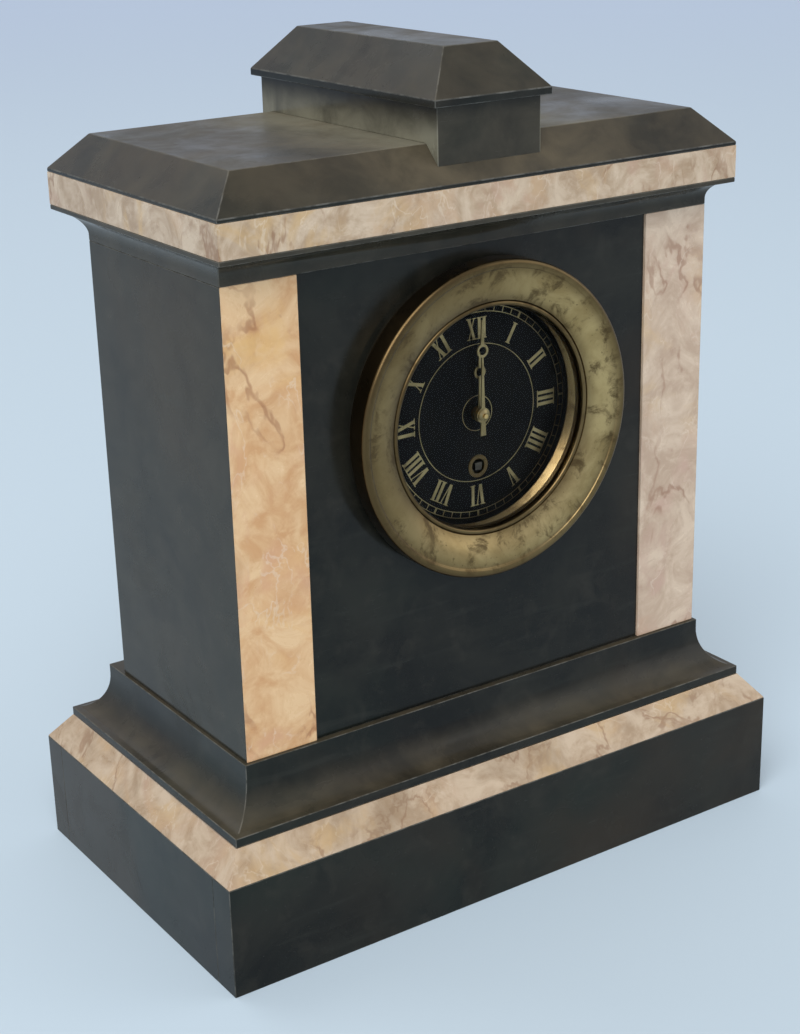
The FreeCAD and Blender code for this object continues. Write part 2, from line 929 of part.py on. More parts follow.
def rear_door():
    front = rear_flange_back + rear_door_gap
    back = front + rear_door_thickness
    disc = rod_y(centre, rear_door_radius, front, back)
    moving = knuckle_radius - knuckle_clearance
    tubes, bore = knuckles(rear_hinge_x, rear_hinge_y, moving, inner_spans)
    leaf = block(
        rear_hinge_x,
        rear_hinge_x + 2 * rear_hinge_reach,
        front,
        back,
        dial_height - hinge_middle_half,
        dial_height + hinge_middle_half,
    )
    knob_at = (knob_circle, dial_height)
    door = joined([disc, leaf] + tubes).cut(bore)
    save("rear_door", [drilled(door, knob_at, knob_neck_radius + seat_clearance, front, back)])
    neck = rod_y(knob_at, knob_neck_radius, front, back + knob_length / 2)
    grip_start = back + knob_neck
    grip_end = back + knob_length
    waist = (knob_neck_radius, grip_start)
    widest = (knob_radius, (grip_start + grip_end) / 2)
    crown = (0, grip_end)
    grip = spun(
        knob_at,
        [
            [(0, grip_start), waist],
            quarter_curve(waist, widest, True),
            quarter_curve(widest, crown, False),
            [crown, (0, grip_start)],
        ],
    )
    save("rear_door_knob", [joined([neck, grip])])


# Straps and their long screws
strap_front = plate_front + strap_thickness
strap_rear = body_back - strap_rear_setback


def strap(angle):
    """A flat strap along the case, with a foot turned in at each end."""
    low = dial_height - strap_width / 2
    high = dial_height + strap_width / 2
    outer = strap_inner_radius + strap_thickness
    run = block(strap_inner_radius, outer, plate_front, strap_rear, low, high)
    front_foot = block(strap_foot_reach, outer, plate_front, strap_front, low, high)
    rear_foot = block(strap_foot_reach, outer, strap_rear - strap_thickness, strap_rear, low, high)
    piece = turned(joined([run, front_foot, rear_foot]), centre, angle)
    hole_at = polar(centre, strap_screw_circle, angle)
    return drilled(piece, hole_at, strap_screw_radius + seat_clearance, plate_front, strap_rear)


def straps():
    save("case_straps", [strap(angle) for angle in (strap_angle, 180 - strap_angle)])
    screws = []
    for at in strap_places():
        end = strap_rear - strap_thickness - strap_screw_overhang
        shank = rod_y(at, strap_screw_radius, end, rear_flange_back)
        head_back = rear_flange_back + strap_screw_head_height
        head = rod_y(at, strap_screw_head, rear_flange_back, head_back)
        screws.append(joined([shank, head]).cut(driver_slot(at, rear_flange_back)))
        short = rod_y(at, strap_screw_radius, plate_front - seat_plate_thickness, strap_front)
        cap = rod_y(at, strap_screw_head, strap_front, strap_front + strap_screw_head_height)
        screws.append(joined([short, cap]).cut(driver_slot(at, strap_front)))
    save("strap_screws", screws)


def driver_slot(at, seat):
    """The cut for a screwdriver, across a head that stands on a plane and faces the back."""
    wide = strap_screw_head + overrun
    half = screw_slot / 2
    head_back = seat + strap_screw_head_height
    middle = seat + strap_screw_head_height / 2
    return block(at[0] - wide, at[0] + wide, middle, head_back + overrun, at[1] - half, at[1] + half)


# Gears
def tooth_points(at, teeth, module, phase, tooth_share, addendum_share, dedendum_share):
    """The outline of a gear, with one tooth's middle at the phase angle."""
    pitch = teeth * module / 2
    root = pitch - dedendum_share * module
    tip = pitch + addendum_share * module
    shoulder = pitch + addendum_share * module * shoulder_height_share
    half = 180 * tooth_share / teeth
    rising = (
        (root, -half),
        (pitch, -half),
        (shoulder, -half * shoulder_width_share),
        (tip, -half * tip_width_share),
    )
    corners = list(rising) + [(radius, -turn) for radius, turn in reversed(rising)]
    points = []
    for tooth in range(teeth):
        middle = phase + tooth * 360 / teeth
        points += [polar(at, radius, middle + turn) for radius, turn in corners]
    return points


def wheel_points(at, teeth, module, phase):
    return tooth_points(
        at, teeth, module, phase, wheel_tooth_share, wheel_addendum_share, wheel_dedendum_share
    )


def leaf_points(at, leaves, module, mesh_angle):
    """A pinion's outline with a gap, not a leaf, at the angle where it meets its wheel."""
    phase = mesh_angle + 180 / leaves
    return tooth_points(
        at, leaves, module, phase, leaf_tooth_share, leaf_addendum_share, leaf_dedendum_share
    )


def crossed(disc, at, rim_inner, hub, spokes, y0, y1):
    """A disc with its windows cut out, which leaves a rim, a hub and spokes."""
    windows = ring_y(at, rim_inner, hub, y0 - overrun, y1 + overrun)
    half = spoke_width / 2
    for number in range(spokes):
        bar = block(
            at[0],
            at[0] + rim_inner + overrun,
            y0 - 2 * overrun,
            y1 + 2 * overrun,
            at[1] - half,
            at[1] + half,
        )
        windows = windows.cut(turned(bar, at, 90 + number * 360 / spokes))
    return disc.cut(windows)


def toothed_wheel(at, teeth, module, phase, level, thickness, rim, hub, spokes):
    y0 = plate_inner + level
    y1 = y0 + thickness
    disc = prism_y(wheel_points(at, teeth, module, phase), y0, y1)
    rim_inner = teeth * module / 2 - wheel_dedendum_share * module - rim
    return crossed(disc, at, rim_inner, hub, spokes, y0, y1)


def pinion(at, leaves, module, mesh_angle, level, width):
    y0 = plate_inner + level
    return prism_y(leaf_points(at, leaves, module, mesh_angle), y0, y0 + width)


def arbor(at, radius, pivot):
    """A straight arbor between the plates with a finer pivot in each plate."""
    middle = rod_y(at, radius, plate_inner + arbor_shake, rear_plate_inner - arbor_shake)
    ends = rod_y(at, pivot, plate_front, rear_plate_back)
    return joined([middle, ends])


barrel_mesh = angle_between(barrel_centre, intermediate_centre)
intermediate_mesh = angle_between(intermediate_centre, centre)
third_mesh = angle_between(centre, third_centre)
escape_mesh = angle_between(third_centre, escape_centre)


def intermediate_wheel():
    wheel = toothed_wheel(
        intermediate_centre,
        intermediate_teeth,
        intermediate_module,
        intermediate_mesh,
        intermediate_wheel_level,
        wheel_thickness,
        wheel_rim,
        hub_radius,
        spoke_count,
    )
    leaves = pinion(
        intermediate_centre,
        intermediate_leaves,
        barrel_module,
        barrel_mesh + 180,
        intermediate_pinion_level,
        intermediate_pinion_width,
    )
    shaft = arbor(intermediate_centre, arbor_radius, pivot_radius)
    save("intermediate_wheel", [joined([shaft, wheel, leaves])])


def centre_wheel():
    wheel = toothed_wheel(
        centre,
        centre_teeth,
        centre_module,
        third_mesh,
        centre_wheel_level,
        wheel_thickness,
        wheel_rim,
        hub_radius,
        spoke_count,
    )
    leaves = pinion(
        centre,
        centre_leaves,
        intermediate_module,
        intermediate_mesh + 180,
        centre_pinion_level,
        centre_pinion_width,
    )
    shaft = arbor(centre, arbor_radius, pivot_radius)
    tip = minute_hand_front - collet_thickness - arbor_end
    nose = rod_y(centre, arbor_front_radius, tip, plate_inner + arbor_shake)
    save("centre_wheel", [joined([shaft, nose, wheel, leaves])])


def third_wheel():
    wheel = toothed_wheel(
        third_centre,
        third_teeth,
        third_module,
        escape_mesh,
        third_wheel_level,
        fine_wheel_thickness,
        fine_wheel_rim,
        fine_hub_radius,
        fine_spoke_count,
    )
    leaves = pinion(
        third_centre,
        third_leaves,
        centre_module,
        third_mesh + 180,
        third_pinion_level,
        third_pinion_width,
    )
    shaft = arbor(third_centre, fine_arbor_radius, fine_pivot_radius)
    save("third_wheel", [joined([shaft, wheel, leaves])])


# Escape wheel and anchor
tooth_pitch = 360 / escape_teeth


def escape_wheel():
    y0 = plate_inner + escape_wheel_level
    y1 = y0 + fine_wheel_thickness
    root = escape_radius - escape_tooth_depth
    first = 90 - math.degrees(half_span) + escape_phase_share * tooth_pitch
    points = []
    for tooth in range(escape_teeth):
        tip = first + tooth * tooth_pitch
        points.append(polar(escape_centre, root, tip - escape_heel_share * tooth_pitch))
        points.append(polar(escape_centre, escape_radius, tip - escape_tip_share * tooth_pitch))
        points.append(polar(escape_centre, escape_radius, tip + escape_tip_share * tooth_pitch))
        points.append(polar(escape_centre, root, tip + escape_toe_share * tooth_pitch))
    disc = prism_y(points, y0, y1)
    rim_inner = root - fine_wheel_rim
    wheel = crossed(disc, escape_centre, rim_inner, fine_hub_radius, fine_spoke_count, y0, y1)
    leaves = pinion(
        escape_centre,
        escape_leaves,
        third_module,
        escape_mesh + 180,
        escape_pinion_level,
        escape_pinion_width,
    )
    shaft = arbor(escape_centre, fine_arbor_radius, fine_pivot_radius)
    save("escape_wheel", [joined([shaft, wheel, leaves])])


cock_front = rear_plate_back + cock_stand_off
cock_back = cock_front + cock_thickness


def anchor():
    y0 = plate_inner + anchor_level
    y1 = y0 + anchor_thickness
    nib_start = escape_radius + pallet_gap
    nib_end = nib_start + pallet_length
    half_nib = pallet_thickness / 2
    pieces = [rod_y(anchor_centre, anchor_hub_radius, y0, y1)]
    for side in (-1, 1):
        nib_angle = 90 - side * math.degrees(half_span)
        nib = block(
            escape_centre[0] + nib_start,
            escape_centre[0] + nib_end,
            y0,
            y1,
            escape_centre[1] - half_nib,
            escape_centre[1] + half_nib,
        )
        pieces.append(turned(nib, escape_centre, nib_angle))
        shoe = block(
            escape_centre[0] + nib_end - pallet_back / 2,
            escape_centre[0] + nib_end + pallet_back,
            y0,
            y1,
            escape_centre[1] - pallet_back / 2,
            escape_centre[1] + pallet_back / 2,
        )
        pieces.append(turned(shoe, escape_centre, nib_angle))
        knee = polar(escape_centre, nib_end + pallet_back / 2, nib_angle)
        reach = math.hypot(knee[0] - anchor_centre[0], knee[1] - anchor_centre[1])
        arm = block(
            anchor_centre[0],
            anchor_centre[0] + reach,
            y0,
            y1,
            anchor_centre[1] - anchor_arm_width / 2,
            anchor_centre[1] + anchor_arm_width / 2,
        )
        pieces.append(turned(arm, anchor_centre, angle_between(anchor_centre, knee)))
    shaft = rod_y(anchor_centre, fine_arbor_radius, plate_inner + arbor_shake, cock_front - arbor_shake)
    pivots = rod_y(anchor_centre, fine_pivot_radius, plate_front, cock_back)
    crutch_front = rear_plate_back + crutch_setback
    crutch_back = crutch_front + crutch_thickness
    strip = block(
        -crutch_width / 2,
        crutch_width / 2,
        crutch_front,
        crutch_back,
        anchor_centre[1] - crutch_length,
        anchor_centre[1],
    )
    hub = rod_y(anchor_centre, crutch_hub_radius, crutch_front, crutch_back)
    fork_low = anchor_centre[1] - crutch_length
    fork = block(
        -crutch_fork_half,
        crutch_fork_half,
        crutch_front,
        pendulum_y + rod_radius + crutch_fork_overhang,
        fork_low,
        fork_low + crutch_width,
    )
    gap = rod_radius + crutch_fork_clearance
    slot = block(
        -gap,
        gap,
        pendulum_y - rod_radius - crutch_fork_overhang,
        pendulum_y + rod_radius + crutch_fork_overhang + overrun,
        fork_low - overrun,
        fork_low + crutch_width + overrun,
    )
    pieces += [shaft, pivots, strip, hub, fork.cut(slot)]
    save("anchor_and_crutch", [joined(pieces)])


def cock_post_places():
    return [(side * cock_post_spread, anchor_centre[1]) for side in (-1, 1)]


def back_cock():
    z = anchor_centre[1]
    bridge = block(
        -cock_half_width,
        cock_half_width,
        cock_front,
        cock_back,
        z - cock_half_height,
        z + cock_half_height,
    )
    pieces = [bridge]
    for post in cock_post_places():
        pieces.append(rod_y(post, cock_post_radius, rear_plate_back, cock_front))
    near = chop_half_thickness + chop_clearance
    far = near + cheek_width
    cheek_back = pendulum_y + cheek_overhang
    for x0, x1 in ((-far, -near), (near, far)):
        cheek = block(x0, x1, cock_back, cheek_back, z - cheek_half_height, z + cheek_half_height)
        pieces.append(cheek)
    pieces.append(rod_x(pendulum_y, z, suspension_pin_radius, -far, far))
    cock = drilled(
        joined(pieces), anchor_centre, fine_pivot_radius + running_clearance, cock_front, cock_back
    )
    for post in cock_post_places():
        cock = drilled(cock, post, cock_screw_radius + seat_clearance, rear_plate_back, cock_back)
    save("back_cock", [cock])


# Suspension spring and pendulum
def suspension_spring():
    z = anchor_centre[1]
    half = chop_height / 2
    top = block(
        -chop_half_thickness,
        chop_half_thickness,
        pendulum_y - chop_half_width,
        pendulum_y + chop_half_width,
        z - half,
        z + half,
    )
    reach = chop_half_thickness + overrun
    hole = suspension_pin_radius + suspension_pin_clearance
    top = top.cut(rod_x(pendulum_y, z, hole, -reach, reach))
    strip_low = z - half - suspension_strip_length
    strip = block(
        -suspension_strip_half_thickness,
        suspension_strip_half_thickness,
        pendulum_y - chop_half_width,
        pendulum_y + chop_half_width,
        strip_low,
        z - half,
    )
    bottom = block(
        -chop_half_thickness,
        chop_half_thickness,
        pendulum_y - chop_half_width,
        pendulum_y + chop_half_width,
        strip_low - chop_height,
        strip_low,
    )
    pin_z = strip_low - half
    hole = suspension_pin_radius + stirrup_clearance
    bottom = bottom.cut(rod_x(pendulum_y, pin_z, hole, -reach, reach))
    save("suspension_spring", [joined([top, strip, bottom])])


def pendulum_rod():
    pin_z = anchor_centre[1] - chop_height - suspension_strip_length
    top = pin_z - chop_height / 2 + stirrup_overlap
    low = top - stirrup_height
    head = block(
        -stirrup_half_width,
        stirrup_half_width,
        pendulum_y - chop_half_width,
        pendulum_y + chop_half_width,
        low,
        top,
    )
    gap = chop_half_thickness + stirrup_clearance
    slot = block(
        -gap,
        gap,
        pendulum_y - chop_half_width - overrun,
        pendulum_y + chop_half_width + overrun,
        top - stirrup_overlap - stirrup_clearance,
        top + overrun,
    )
    pin = rod_x(pendulum_y, pin_z, suspension_pin_radius, -stirrup_half_width, stirrup_half_width)
    rod_end = bob_centre_height - bob_radius - rod_tail
    rod = rod_z(0, pendulum_y, rod_radius, rod_end, low)
    save("pendulum_rod", [joined([head.cut(slot), pin, rod])])


def pendulum_bob():
    """A lens of two shallow domes with a narrow rim, bored upright for the rod, and its nut."""
    at = (0, bob_centre_height)
    edge = bob_edge / 2
    rise = bob_thickness / 2 - edge
    dome_radius = (bob_radius ** 2 + rise ** 2) / (2 * rise)
    offset = dome_radius - rise - edge
    lens = rod_y(at, bob_radius, pendulum_y - bob_thickness, pendulum_y + bob_thickness)
    for side in (-1, 1):
        dome_centre = V(at[0], pendulum_y + side * offset, at[1])
        lens = lens.common(Part.makeSphere(dome_radius, dome_centre, V(0, side, 0)))
    hole = rod_radius + bob_hole_clearance
    reach = bob_radius + overrun
    lens = lens.cut(rod_z(0, pendulum_y, hole, at[1] - reach, at[1] + reach))
    save("pendulum_bob", [lens])
    nut_top = at[1] - bob_radius - rating_nut_gap
    nut = rod_z(0, pendulum_y, rating_nut_radius, nut_top - rating_nut_height, nut_top)
    low = nut_top - rating_nut_height - overrun
    high = nut_top + overrun
    nut = nut.cut(rod_z(0, pendulum_y, rod_radius + running_clearance, low, high))
    for number in range(rating_nut_grooves):
        x, y = polar((0, pendulum_y), rating_nut_radius, number * 360 / rating_nut_grooves)
        nut = nut.cut(rod_z(x, y, rating_nut_groove, low, high))
    save("rating_nut", [nut])


# Barrel
def barrel():
    y0 = plate_inner + barrel_level
    y1 = y0 + barrel_height
    teeth = prism_y(
        wheel_points(barrel_centre, barrel_teeth, barrel_module, barrel_mesh),
        y0,
        y0 + barrel_tooth_width,
    )
    drum = joined([teeth, rod_y(barrel_centre, drum_radius, y0, y1)])
    inner = drum_radius - drum_wall
    drum = drum.cut(rod_y(barrel_centre, inner, y0 + drum_floor, y1 + overrun))
    bore = barrel_shoulder_radius + running_clearance
    save("going_barrel", [drilled(drum, barrel_centre, bore, y0, y1)])
    cap_back = y1 - cap_inset
    cap = ring_y(barrel_centre, inner - cap_clearance, bore, cap_back - cap_thickness, cap_back)
    save("barrel_cap", [cap])


def spiral_edges(y, radius, pitch):
    """A spiral round the barrel's axis from a radius inwards, as half circles about two centres."""
    quarter = pitch / 4
    edges = []
    for number in range(2 * spring_turns):
        side = 1 if number % 2 == 0 else -1
        middle = barrel_centre[0] + side * quarter
        reach = side * (radius - (2 * number + 1) * quarter)
        start = V(middle + reach, y, barrel_centre[1])
        top = V(middle, y, barrel_centre[1] + reach)
        end = V(middle - reach, y, barrel_centre[1])
        edges.append(Part.Arc(start, top, end).toShape())
    return edges


def mainspring():
    """A flat strip wound from just inside the drum's wall towards the arbor."""
    y0 = plate_inner + barrel_level + drum_floor + spring_end_gap
    y1 = plate_inner + barrel_level + barrel_height - cap_inset - cap_thickness - spring_end_gap
    start = drum_radius - drum_wall - spring_wall_gap
    pitch = (start - spring_thickness - barrel_hub_radius - running_clearance) / spring_turns
    outer = spiral_edges(y0, start, pitch)
    inner = spiral_edges(y0, start - spring_thickness, pitch)
    axis_x, axis_z = barrel_centre
    outer_end = V(axis_x + start - pitch * spring_turns, y0, axis_z)
    inner_end = outer_end - V(spring_thickness, 0, 0)
    outer_start = V(axis_x + start, y0, axis_z)
    inner_start = outer_start - V(spring_thickness, 0, 0)
    closing = Part.LineSegment(outer_end, inner_end).toShape()
    opening = Part.LineSegment(inner_start, outer_start).toShape()
    outline = Part.Wire(outer + [closing] + inner[::-1] + [opening])
    save("mainspring", [Part.Face(outline).extrude(V(0, y1 - y0, 0))])


def winding_arbor():
    y0 = plate_inner + barrel_level
    y1 = y0 + barrel_height
    shoulder_front = plate_inner + arbor_shake
    shoulder_back = rear_plate_inner - arbor_shake
    hub_front = y0 + drum_floor + arbor_shake
    hub_back = y1 - cap_inset - cap_thickness - arbor_shake
    half = winding_square / 2
    end = dial_front - winding_square_overhang
    square = block(
        barrel_centre[0] - half,
        barrel_centre[0] + half,
        end,
        plate_front,
        barrel_centre[1] - half,
        barrel_centre[1] + half,
    )
    pieces = [
        rod_y(barrel_centre, barrel_shoulder_radius, shoulder_front, shoulder_back),
        rod_y(barrel_centre, barrel_hub_radius, hub_front, hub_back),
        rod_y(barrel_centre, barrel_front_pivot, plate_front, shoulder_front),
        rod_y(barrel_centre, barrel_rear_pivot, shoulder_back, rear_plate_back),
        square,
    ]
    save("winding_arbor", [joined(pieces)])


# Ratchet wheel, click and click spring
click_centre = polar(barrel_centre, click_distance, click_angle)
ratchet_back = plate_front - ratchet_gap
ratchet_front = ratchet_back - ratchet_thickness


def ratchet_wheel():
    step = 360 / ratchet_teeth
    root = ratchet_radius - ratchet_tooth_depth
    points = []
    for tooth in range(ratchet_teeth):
        face = click_nose_angle + tooth * step
        points.append(polar(barrel_centre, ratchet_radius, face - ratchet_crest_share * step))
        points.append(polar(barrel_centre, ratchet_radius, face))
        points.append(polar(barrel_centre, root, face))
    wheel = prism_y(points, ratchet_front, ratchet_back)
    half = winding_square / 2 + seat_clearance
    hole = block(
        barrel_centre[0] - half,
        barrel_centre[0] + half,
        ratchet_front - overrun,
        ratchet_back + overrun,
        barrel_centre[1] - half,
        barrel_centre[1] + half,
    )
    save("ratchet_wheel", [wheel.cut(hole)])


def click_nose():
    """The click's nose between two ratchet teeth: its tip, its outer corner and the end of its heel."""
    step = 360 / ratchet_teeth
    clear = math.degrees(click_nose_gap / ratchet_radius)
    root = ratchet_radius - ratchet_tooth_depth + click_nose_gap
    tip = polar(barrel_centre, root, click_nose_angle + clear)
    top = polar(barrel_centre, ratchet_radius + click_width, click_nose_angle + clear)
    heel = polar(
        barrel_centre, ratchet_radius + click_heel_gap, click_nose_angle + step * click_nose_share
    )
    return tip, top, heel


def click_shoulder():
    """Where the click's straight back meets its hub."""
    top = click_nose()[1]
    return polar(click_centre, click_hub_radius, angle_between(click_centre, top) + 90)


def click():
    tip, top, heel = click_nose()
    under = polar(click_centre, click_hub_radius, angle_between(click_centre, heel) - 90)
    outline = [tip, top, click_shoulder(), click_centre, under, heel]
    body = prism_y(outline, ratchet_front, ratchet_back)
    hub = rod_y(click_centre, click_hub_radius, ratchet_front, ratchet_back)
    lever = joined([body, hub])
    lever = drilled(lever, click_centre, click_stud_radius + running_clearance, ratchet_front, ratchet_back)
    save("click", [lever])


def click_spring_line():
    """The blade's two ends on its inner side, along the click's back, and the direction of the blade."""
    top = click_nose()[1]
    along = angle_between(click_shoulder(), top)
    end = polar(top, click_spring_gap, along + 90)
    return polar(end, click_spring_reach, along + 180), end, along


def click_spring_foot_centre():
    start, _, along = click_spring_line()
    return polar(start, click_spring_foot - click_spring_thickness, along + 90)


def click_spring():
    """A flat blade that presses the click's nose inwards, on a round foot screwed to the front plate."""
    start, end, along = click_spring_line()
    far_end = polar(end, click_spring_thickness, along + 90)
    far_start = polar(start, click_spring_thickness, along + 90)
    front = ratchet_back - click_spring_width
    blade = prism_y([start, end, far_end, far_start], front, ratchet_back)
    foot_at = click_spring_foot_centre()
    piece = joined([blade, rod_y(foot_at, click_spring_foot, front, plate_front)])
    save("click_spring", [drilled(piece, foot_at, plate_screw_radius + seat_clearance, front, plate_front)])


# Motion work and hands
hour_hand_back = dial_front - hour_hand_gap
hour_hand_front = hour_hand_back - hand_thickness
minute_hand_back = hour_hand_front - hand_spacing
minute_hand_front = minute_hand_back - hand_thickness
cannon_module = 2 * motion_distance / (cannon_leaves + minute_wheel_teeth)
hour_module = 2 * motion_distance / (minute_leaves + hour_wheel_teeth)
minute_wheel_back = plate_front - motion_gap
minute_wheel_front = minute_wheel_back - motion_wheel_thickness
hour_wheel_back = minute_wheel_back - motion_wheel_step
hour_wheel_front = hour_wheel_back - motion_wheel_thickness


def cannon_pinion():
    mesh = angle_between(centre, minute_centre)
    leaves = leaf_points(centre, cannon_leaves, cannon_module, mesh)
    low = plate_front - motion_gap / 2
    teeth = prism_y(leaves, minute_wheel_front - motion_gap / 4, low)
    pipe = rod_y(centre, cannon_pipe_radius, minute_hand_back, low)
    half = minute_square / 2
    square = block(
        -half, half, minute_hand_front, minute_hand_back, dial_height - half, dial_height + half
    )
    piece = joined([teeth, pipe, square])
    bore = arbor_front_radius + seat_clearance
    save("cannon_pinion", [drilled(piece, centre, bore, minute_hand_front, plate_front)])


def minute_wheel():
    mesh = angle_between(minute_centre, centre)
    disc = prism_y(
        wheel_points(minute_centre, minute_wheel_teeth, cannon_module, mesh),
        minute_wheel_front,
        minute_wheel_back,
    )
    leaves = prism_y(
        leaf_points(minute_centre, minute_leaves, hour_module, mesh),
        hour_wheel_front - motion_gap / 4,
        minute_wheel_front,
    )
    hub = rod_y(minute_centre, minute_hub_radius, minute_wheel_back, plate_front - motion_gap / 4)
    piece = joined([disc, leaves, hub])
    bore = minute_stud_radius + running_clearance
    save("minute_wheel", [drilled(piece, minute_centre, bore, dial_front, plate_front)])


def hour_wheel():
    mesh = angle_between(centre, minute_centre)
    rim_inner = hour_wheel_teeth * hour_module / 2 - wheel_dedendum_share * hour_module - wheel_rim
    disc = prism_y(
        wheel_points(centre, hour_wheel_teeth, hour_module, mesh), hour_wheel_front, hour_wheel_back
    )
    hub = cannon_pipe_radius + hour_pipe_clearance + hour_pipe_wall
    disc = crossed(disc, centre, rim_inner, hub, fine_spoke_count, hour_wheel_front, hour_wheel_back)
    pipe = rod_y(centre, hub, hour_hand_front, hour_wheel_back)
    bore = cannon_pipe_radius + hour_pipe_clearance
    piece = joined([disc, pipe])
    save("hour_wheel", [drilled(piece, centre, bore, hour_hand_front, hour_wheel_back)])


def hand_blade(low, low_width, high, high_width, y0, y1):
    """A stretch of a hand: a flat blade between two heights, with a width at each."""
    wide = low_width / 2
    slim = high_width / 2
    outline = [(-wide, low), (wide, low), (slim, high), (-slim, high)]
    return prism_y(outline, y0, y1)


def hand(length, y0, y1, tail):
    """A hand pointing up, with a ring in its stem, a fine tip and, on the longer one, a tail."""
    ring_z = dial_height + length * hand_ring_share
    tip_z = dial_height + length
    pieces = [
        rod_y(centre, hand_boss_radius, y0, y1),
        rod_y((0, ring_z), hand_ring_outer, y0, y1),
        hand_blade(dial_height, hand_stem_width, ring_z, hand_tip_width, y0, y1),
        hand_blade(ring_z, hand_stem_width, tip_z, hand_tip_width, y0, y1),
    ]
    if tail:
        low = dial_height - tail
        pieces.append(hand_blade(low, hand_tail_width, dial_height, hand_stem_width, y0, y1))
    return drilled(joined(pieces), (0, ring_z), hand_ring_inner, y0, y1)


def hands():
    pipe = cannon_pipe_radius + hour_pipe_clearance + hour_pipe_wall + seat_clearance
    hour = hand(hour_hand_length, hour_hand_front, hour_hand_back, 0)
    save("hour_hand", [drilled(hour, centre, pipe, hour_hand_front, hour_hand_back)])
    minute = hand(minute_hand_length, minute_hand_front, minute_hand_back, hand_tail)
    half = minute_square / 2 + seat_clearance
    hole = block(
        -half,
        half,
        minute_hand_front - overrun,
        minute_hand_back + overrun,
        dial_height - half,
        dial_height + half,
    )
    save("minute_hand", [minute.cut(hole)])
    collet_front = minute_hand_front - collet_thickness
    collet = spun(
        centre,
        straight(
            [
                (arbor_front_radius + seat_clearance, collet_front),
                (collet_radius / 2, collet_front),
                (collet_radius, minute_hand_front - collet_edge),
                (collet_radius, minute_hand_front),
                (arbor_front_radius + seat_clearance, minute_hand_front),
            ]
        ),
    )
    save("hand_collet", [collet])


# Plates, pillars and screws
def pivot_places():
    """Each arbor's centre with its pivot radius in the front plate and in the rear plate."""
    return (
        (barrel_centre, barrel_front_pivot, barrel_rear_pivot),
        (intermediate_centre, pivot_radius, pivot_radius),
        (centre, arbor_front_radius, pivot_radius),
        (third_centre, fine_pivot_radius, fine_pivot_radius),
        (escape_centre, fine_pivot_radius, fine_pivot_radius),
        (anchor_centre, fine_pivot_radius, anchor_hole_radius),
    )


def pillar_places():
    return [polar(centre, pillar_circle, angle) for angle in pillar_angles]


def plates():
    front = rod_y(centre, plate_radius, plate_front, plate_inner)
    back = rod_y(centre, plate_radius, rear_plate_inner, rear_plate_back)
    front_holes = [(at, radius + running_clearance) for at, radius, _ in pivot_places()]
    back_holes = [(at, radius + running_clearance) for at, _, radius in pivot_places()]
    pillar_holes = [(at, pillar_pivot_radius + seat_clearance) for at in pillar_places()]
    front_holes += pillar_holes
    back_holes += pillar_holes
    front_holes += [(at, plate_screw_radius + seat_clearance) for at in plate_screw_places()]
    front_holes.append((click_spring_foot_centre(), plate_screw_radius + seat_clearance))
    front_holes.append((click_centre, click_stud_radius + seat_clearance))
    back_holes += [(at, cock_screw_radius + seat_clearance) for at in cock_post_places()]
    for at, radius in front_holes:
        front = drilled(front, at, radius, plate_front, plate_inner)
    for at, radius in back_holes:
        back = drilled(back, at, radius, rear_plate_inner, rear_plate_back)
    stud_end = hour_wheel_front - motion_gap / 4 - minute_stud_overhang
    stud = rod_y(minute_centre, minute_stud_radius, stud_end, plate_inner)
    save("front_plate", [joined([front, stud])])
    save("rear_plate", [back])


def pillars():
    posts = []
    nuts = []
    for at in pillar_places():
        waist_front = plate_inner + pillar_shoulder
        waist_back = rear_plate_inner - pillar_shoulder
        post = joined(
            [
                rod_y(at, pillar_radius, plate_inner, waist_front),
                rod_y(at, pillar_waist_radius, waist_front, waist_back),
                rod_y(at, pillar_radius, waist_back, rear_plate_inner),
                rod_y(at, pillar_pivot_radius, plate_front, plate_inner),
                rod_y(at, pillar_pivot_radius, rear_plate_inner, rear_plate_back + nut_thickness),
            ]
        )
        posts.append(post)
        hole = pillar_pivot_radius + seat_clearance
        nuts.append(ring_y(at, nut_radius, hole, rear_plate_back, rear_plate_back + nut_thickness))
    save("movement_pillars", posts)
    save("pillar_nuts", nuts)


def screw(at, radius, head, seat, height, end):
    """A screw along Y whose flat head stands on a plane. A negative height puts the head in front of it."""
    shank = rod_y(at, radius, min(seat, end), max(seat, end))
    low, high = sorted((seat, seat + height))
    return joined([shank, rod_y(at, head, low, high)])


def movement_screws():
    places = [(at, plate_front - seat_plate_thickness) for at in plate_screw_places()]
    places.append((click_spring_foot_centre(), ratchet_back - click_spring_width))
    screws = []
    for at, seat in places:
        screws.append(
            screw(at, plate_screw_radius, plate_screw_head, seat, -plate_screw_head_height, plate_inner)
        )
    click_seat = ratchet_front - running_clearance
    screws.append(
        screw(
            click_centre,
            click_stud_radius,
            click_stud_head,
            click_seat,
            -click_stud_head_height,
            plate_inner,
        )
    )
    for post in cock_post_places():
        screws.append(
            screw(
                post,
                cock_screw_radius,
                cock_screw_head,
                cock_back,
                cock_screw_head_height,
                rear_plate_inner,
            )
        )
    save("movement_screws", screws)


os.makedirs("parts", exist_ok=True)
plinth_slabs()
base_marble_band()
foot_moulding()
body_slabs()
cornice()
roof()
top_block_lid()
bezel_seat()
bezel()
glass()
dial()
rear_ring()
rear_door()
straps()
intermediate_wheel()
centre_wheel()
third_wheel()
escape_wheel()
anchor()
back_cock()
suspension_spring()
pendulum_rod()
pendulum_bob()
barrel()
mainspring()
winding_arbor()
ratchet_wheel()
click()
click_spring()
cannon_pinion()
minute_wheel()
hour_wheel()
hands()
plates()
pillars()
movement_screws()
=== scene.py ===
import math

import bmesh
import bpy
from mathutils import Matrix, Vector


